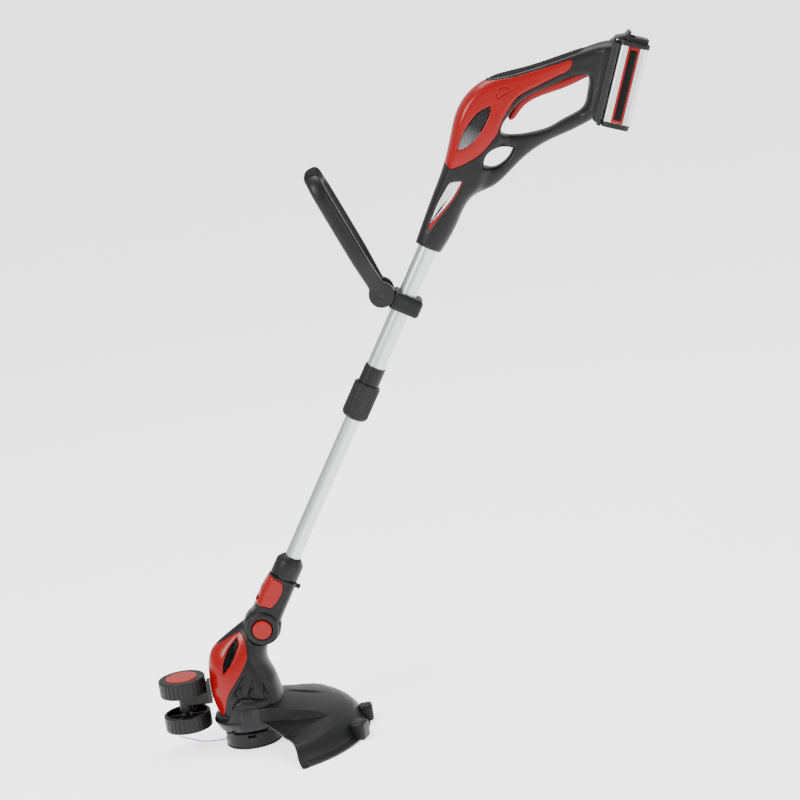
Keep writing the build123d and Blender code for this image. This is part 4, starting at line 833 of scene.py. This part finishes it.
def guard_height(points):
    """The guard's upper face over the ground: a dome, with a wall, a shelf and a fold on its near side."""
    own = guard_axes(points)
    x, y = points[:, 0], points[:, 1]
    radius = np.linalg.norm(points, axis=1)
    top = np.interp(radius, *zip(*dome_at))
    angle = np.degrees(np.arctan2(y, x))
    sink = np.interp(angle, [-66, -63, -27, -20], [19, 19, 2, 0]) * (1 - smooth((radius - 118) / 66))
    wall_y = np.interp(x, near_wall[:, 0], near_wall[:, 1])
    foot = np.interp(x, [10, 50, 95, 132], [52, 49, 46, 46])
    fold_y = np.interp(x, [20, *fold_near[:, 0]], [-82, *fold_near[:, 1]])
    run = np.clip((wall_y - y) / np.maximum(wall_y - fold_y, 4), 0, 1)
    shelf = foot + (np.interp(x, [20, 54, 91, 128], [47, 39, 43, 47]) - foot) * run
    skirt = np.where(y < fold_y, np.minimum(shelf, top - sink), shelf)
    height = top + (np.minimum(skirt, top) - top) * smooth((wall_y - y + 0.6) / 3.2)
    height = height + (top - sink - height) * smooth((x - 124) / 12)
    height = top + (height - top) * (1 - smooth((own[:, 1] + 12) / 12))
    pocket = depth(points, pocket_loop)
    height = height - 3.2 * smooth(pocket / 3.0)
    return 48 + (height - 48) * dome(x + 17, 11.0)


pocket_loop = loop(curve((58, 19), (90, 15), (126, 27)), curve((126, 27), (94, 31), (58, 19)))
guard_marks = [(near_wall, (0.5, 1.5, 2.8)), (fold_near, (1.0,)), (pocket_loop, (0.8, 2.0))]
guard_plan = Plan(guard_loop, [arc((0, 0), 48.3, 0, 356)], guard_marks, grid=3.0,
                  rings=(0.3, 0.9, 2.0, 2.8, 3.5, 4.6, 5.8, 8.0))
guard_top = guard_height(guard_plan.at)
from_rim = distance(guard_plan.at, rim_world)
lip = 2.0 * smooth((3.4 - from_rim) / 0.7) - 0.9 * (1 - smooth(abs(from_rim - 4.6) / 1.2))
guard_thick, wall_foot = 3.0, 45.0
guard_x, guard_y = guard_plan.at[:, 0], guard_plan.at[:, 1]
side_wall = smooth((-49 - guard_y) / 4) * smooth((44 - guard_x) / 24)
guard_under = guard_top - guard_thick                       # beside the collar the near wall goes right down
guard_under = guard_under + (wall_foot - guard_under) * side_wall
relief("guard_skin", guard_plan, guard_top, guard_under, on_ground, "head", black, lip, 1,
       ("guard",), sharp=30)
collar_edge = ([0, 40, 50, 57, 64, 72, 82, 100, 125, 145, 180], [55, 54, 55, 66, 79, 86, 89, 87, 81, 78, 82])
spokes = np.arange(30, 62, 0.25)


def collar_profile(a):
    """The collar's section at an angle from the front: lip, wall and the edge that hugs the head."""
    off = np.degrees(min(a, 2 * pi - a))
    high = np.interp(off, *collar_edge)
    half = head_half(np.stack([-spokes * cos(a), np.full(len(spokes), 72.0)], 1))
    edge_r = spokes[spokes * abs(sin(a)) <= half].max(initial=40.0) + 1.0
    beside = smooth((off - 62) / 14)                        # drawn in where the guard stands beside it
    widest = 80 + (55.2 / max(abs(sin(a)), 0.3) - 80) * beside
    wall_r = min(57.2, widest)
    edge_r = min(edge_r, wall_r - 0.6)
    section = [(46, 34), (52, 33.4), (min(58.2, widest), 45), (min(59.4, widest), 47),
               (min(59.4, widest), 49), (min(58.2, widest), 50.4), (wall_r, 51)]
    for step in range(6):                                   # rounded over to the head
        t = pi / 2 * step / 5
        rise_by = min(9, high - 51.2)
        section.append((edge_r + (wall_r - edge_r) * cos(t), high - rise_by + rise_by * sin(t)))
    return section + [(edge_r - 2.0, high - 1.5), (40, 52)]


lathe("guard_collar", collar_profile, (0, 0, 0), (0, 0, 1), "head", black, turns=180)


def rounded_block(name, place, size, radius, turn, body, mat):
    """A box with well rounded edges, turned about the vertical."""
    work = bmesh.new()
    bmesh.ops.create_cube(work, size=1.0)
    bmesh.ops.scale(work, vec=Vector(size) * MM, verts=work.verts)
    bmesh.ops.bevel(work, geom=work.edges[:], offset=radius * MM, segments=5, profile=0.5, affect="EDGES")
    bmesh.ops.rotate(work, cent=(0, 0, 0), matrix=Matrix.Rotation(turn, 3, "Z"), verts=work.verts)
    bmesh.ops.translate(work, vec=Vector(place) * MM, verts=work.verts)
    points = [v.co.copy() for v in work.verts]
    faces = [[v.index for v in f.verts] for f in work.faces]
    work.free()
    return finish_mesh(name, points, faces, body, mat)


for k, (spread, lug_r, lug_size) in enumerate(((-12, 190, (24, 28, 30)), (13, 187, (22, 24, 28)))):
    lug_angle = guard_yaw + radians(spread)
    rounded_block(f"guard_lug_{k + 1}", (lug_r * cos(lug_angle), lug_r * sin(lug_angle), 17), lug_size, 5.0,
                  lug_angle, "head", black)

# ---------------------------------------------------------------- front handle
clamp_low, clamp_high, clamp_half = 566.0, 595.0, 26.0
hub_p, hub_s = -39.0, 581.0
hub_r, hub_in, hub_out = 20.5, 15.2, 28.0
clamp_loop = loop(curve((-20, clamp_low), (22, clamp_low)), arc((22, clamp_low + 6), 6, -90, 0),
                  arc((22, clamp_high - 6), 6, 0, 90), curve((22, clamp_high), (-20, clamp_high)),
                  curve((-20, clamp_high), (-20, clamp_low)))
clamp_plan = Plan(clamp_loop, grid=3.0, rings=(0.3, 0.9, 1.8, 3.2, 5.0))
clamp_top = clamp_half * (0.82 + 0.18 * dome(distance(clamp_plan.at, clamp_loop, True), 6.0))
relief("clamp_body", clamp_plan, clamp_top, -clamp_top, on_side, "aux_clamp", black, 0.0, 1,
       ("clamp_block",))
stub_loop = loop(curve((-19, clamp_low + 1), (-19, clamp_high - 1)), curve((-19, clamp_high - 1), (-38, 595)),
                 arc((hub_p, hub_s), 14, 90, 270), curve((hub_p, 567), (-19, clamp_low + 1)))
stub_plan = Plan(stub_loop, grid=3.0, rings=(0.3, 1.0))
relief("clamp_stub", stub_plan, np.full(len(stub_plan.at), 14.2), -14.2, on_side, "aux_clamp",
       black, 0.0, 1)

loop_lean = radians(53.6)
loop_up = -across * sin(loop_lean) + shaft_up * cos(loop_lean)
loop_out = np.cross([0.0, 1.0, 0.0], loop_up)               # square to the loop's own plane
half_route = [(21.5, 10), (25, 24), (34, 44), (43, 66), (46, 92), (46.3, 140), (46, 168), (43.5, 190),
              (35, 204.5), (22, 210.5), (0, 211)]
limb_route = curve(*[(-y, u) for y, u in half_route], *[(y, u) for y, u in half_route[-2::-1]], step=2.2)


def limb_section(u, away):
    """Half sizes of the limb's section: in the loop's plane and square to it."""
    wide = np.interp(u, [0, 25, 60, 120, 190, 211], [6.5, 8.0, 10.5, 11.5, 12.0, 12.5])
    thick = np.interp(u, [0, 25, 60, 120, 190, 211], [13.0, 12.5, 12.5, 12.5, 12.5, 12.5])
    return wide, thick


def sweep(name, route, section, body, mat, replaced=(), ring=32, square=2.8):
    """A closed bar along a route in the loop's plane, with a squared-off round section."""
    ahead = np.gradient(route, axis=0)
    ahead /= np.linalg.norm(ahead, axis=1)[:, None]
    points = []
    for (y, u), (dy, du) in zip(route, ahead):
        wide, thick = section(u, y)
        for k in range(ring):
            a = 2 * pi * k / ring
            c, s = cos(a), sin(a)
            fit = (abs(c) ** square + abs(s) ** square) ** (-1 / square)
            side_off, out_off = wide * fit * c, thick * fit * s
            in_plane = (y + side_off * du) * np.array([0, 1, 0]) + (u - side_off * dy) * loop_up
            points.append(hub + MM * (in_plane + out_off * loop_out))
    faces = []
    for i in range(len(route) - 1):
        for k in range(ring):
            n = (k + 1) % ring
            faces.append((i * ring + k, i * ring + n, (i + 1) * ring + n, (i + 1) * ring + k))
    faces.append(tuple(range(ring)))
    faces.append(tuple(range((len(route) - 1) * ring, len(route) * ring)))
    return finish_mesh(name, points, faces, body, mat, replaced)


sweep("aux_loop_bar", limb_route, limb_section, "aux_handle", black, ("aux_handle_loop",))
for name, way in (("left", -1), ("right", 1)):
    lathe(f"aux_hub_{name}", [(4.4, hub_in), (hub_r - 0.8, hub_in), (hub_r, hub_in + 1),
                              (hub_r, hub_out - 1.8), (hub_r - 1.8, hub_out), (5.8, hub_out),
                              (4.4, hub_out - 1.2)],
          hub, (0, way, 0), "aux_handle", black, turns=64)


def grip_section(u, y):
    """The rubber sleeve over the top of the loop, with ridges round it."""
    ridge = 0.55 * (0.5 + 0.5 * cos(2 * pi * y / 5.0))
    ends = float(dome(np.array(30.5 - abs(y)), 3.0))
    return 12.9 * (0.9 + 0.1 * ends) + ridge * ends, 12.9 * (0.9 + 0.1 * ends) + ridge * ends


crown_route = limb_route[(limb_route[:, 1] > 203)]
crown_route = curve(*[(y, u) for y, u in crown_route[::3]], step=0.8)
sweep("aux_grip_sleeve", crown_route, grip_section, "aux_handle", rubber, ("aux_grip",),
      ring=40)

# ---------------------------------------------------------------- battery labels
for name, way in (("left", 1), ("right", -1)):
    for part, half_wide, low, high, proud, finish in (
            ("border", 9.5, 0.2, 120.8, 26.6, red), ("field", 6.0, 4.5, 116.5, 26.85, label_black)):
        edge = loop(curve((-half_wide, low), (half_wide, low)), curve((half_wide, low), (half_wide, high)),
                    curve((half_wide, high), (-half_wide, high)),
                    curve((-half_wide, high), (-half_wide, low)))
        label_plan = Plan(edge, grid=5.0, rings=(0.3,))
        face = proud - 0.2 * (1 - dome(distance(label_plan.at, edge, True), 0.3))
        relief(f"battery_label_{part}_{name}", label_plan, face, 25.9, on_battery, "battery",
               finish, 0.0, way, ("battery_labels",) if way == 1 and part == "border" else ())

bpy.context.view_layer.update()
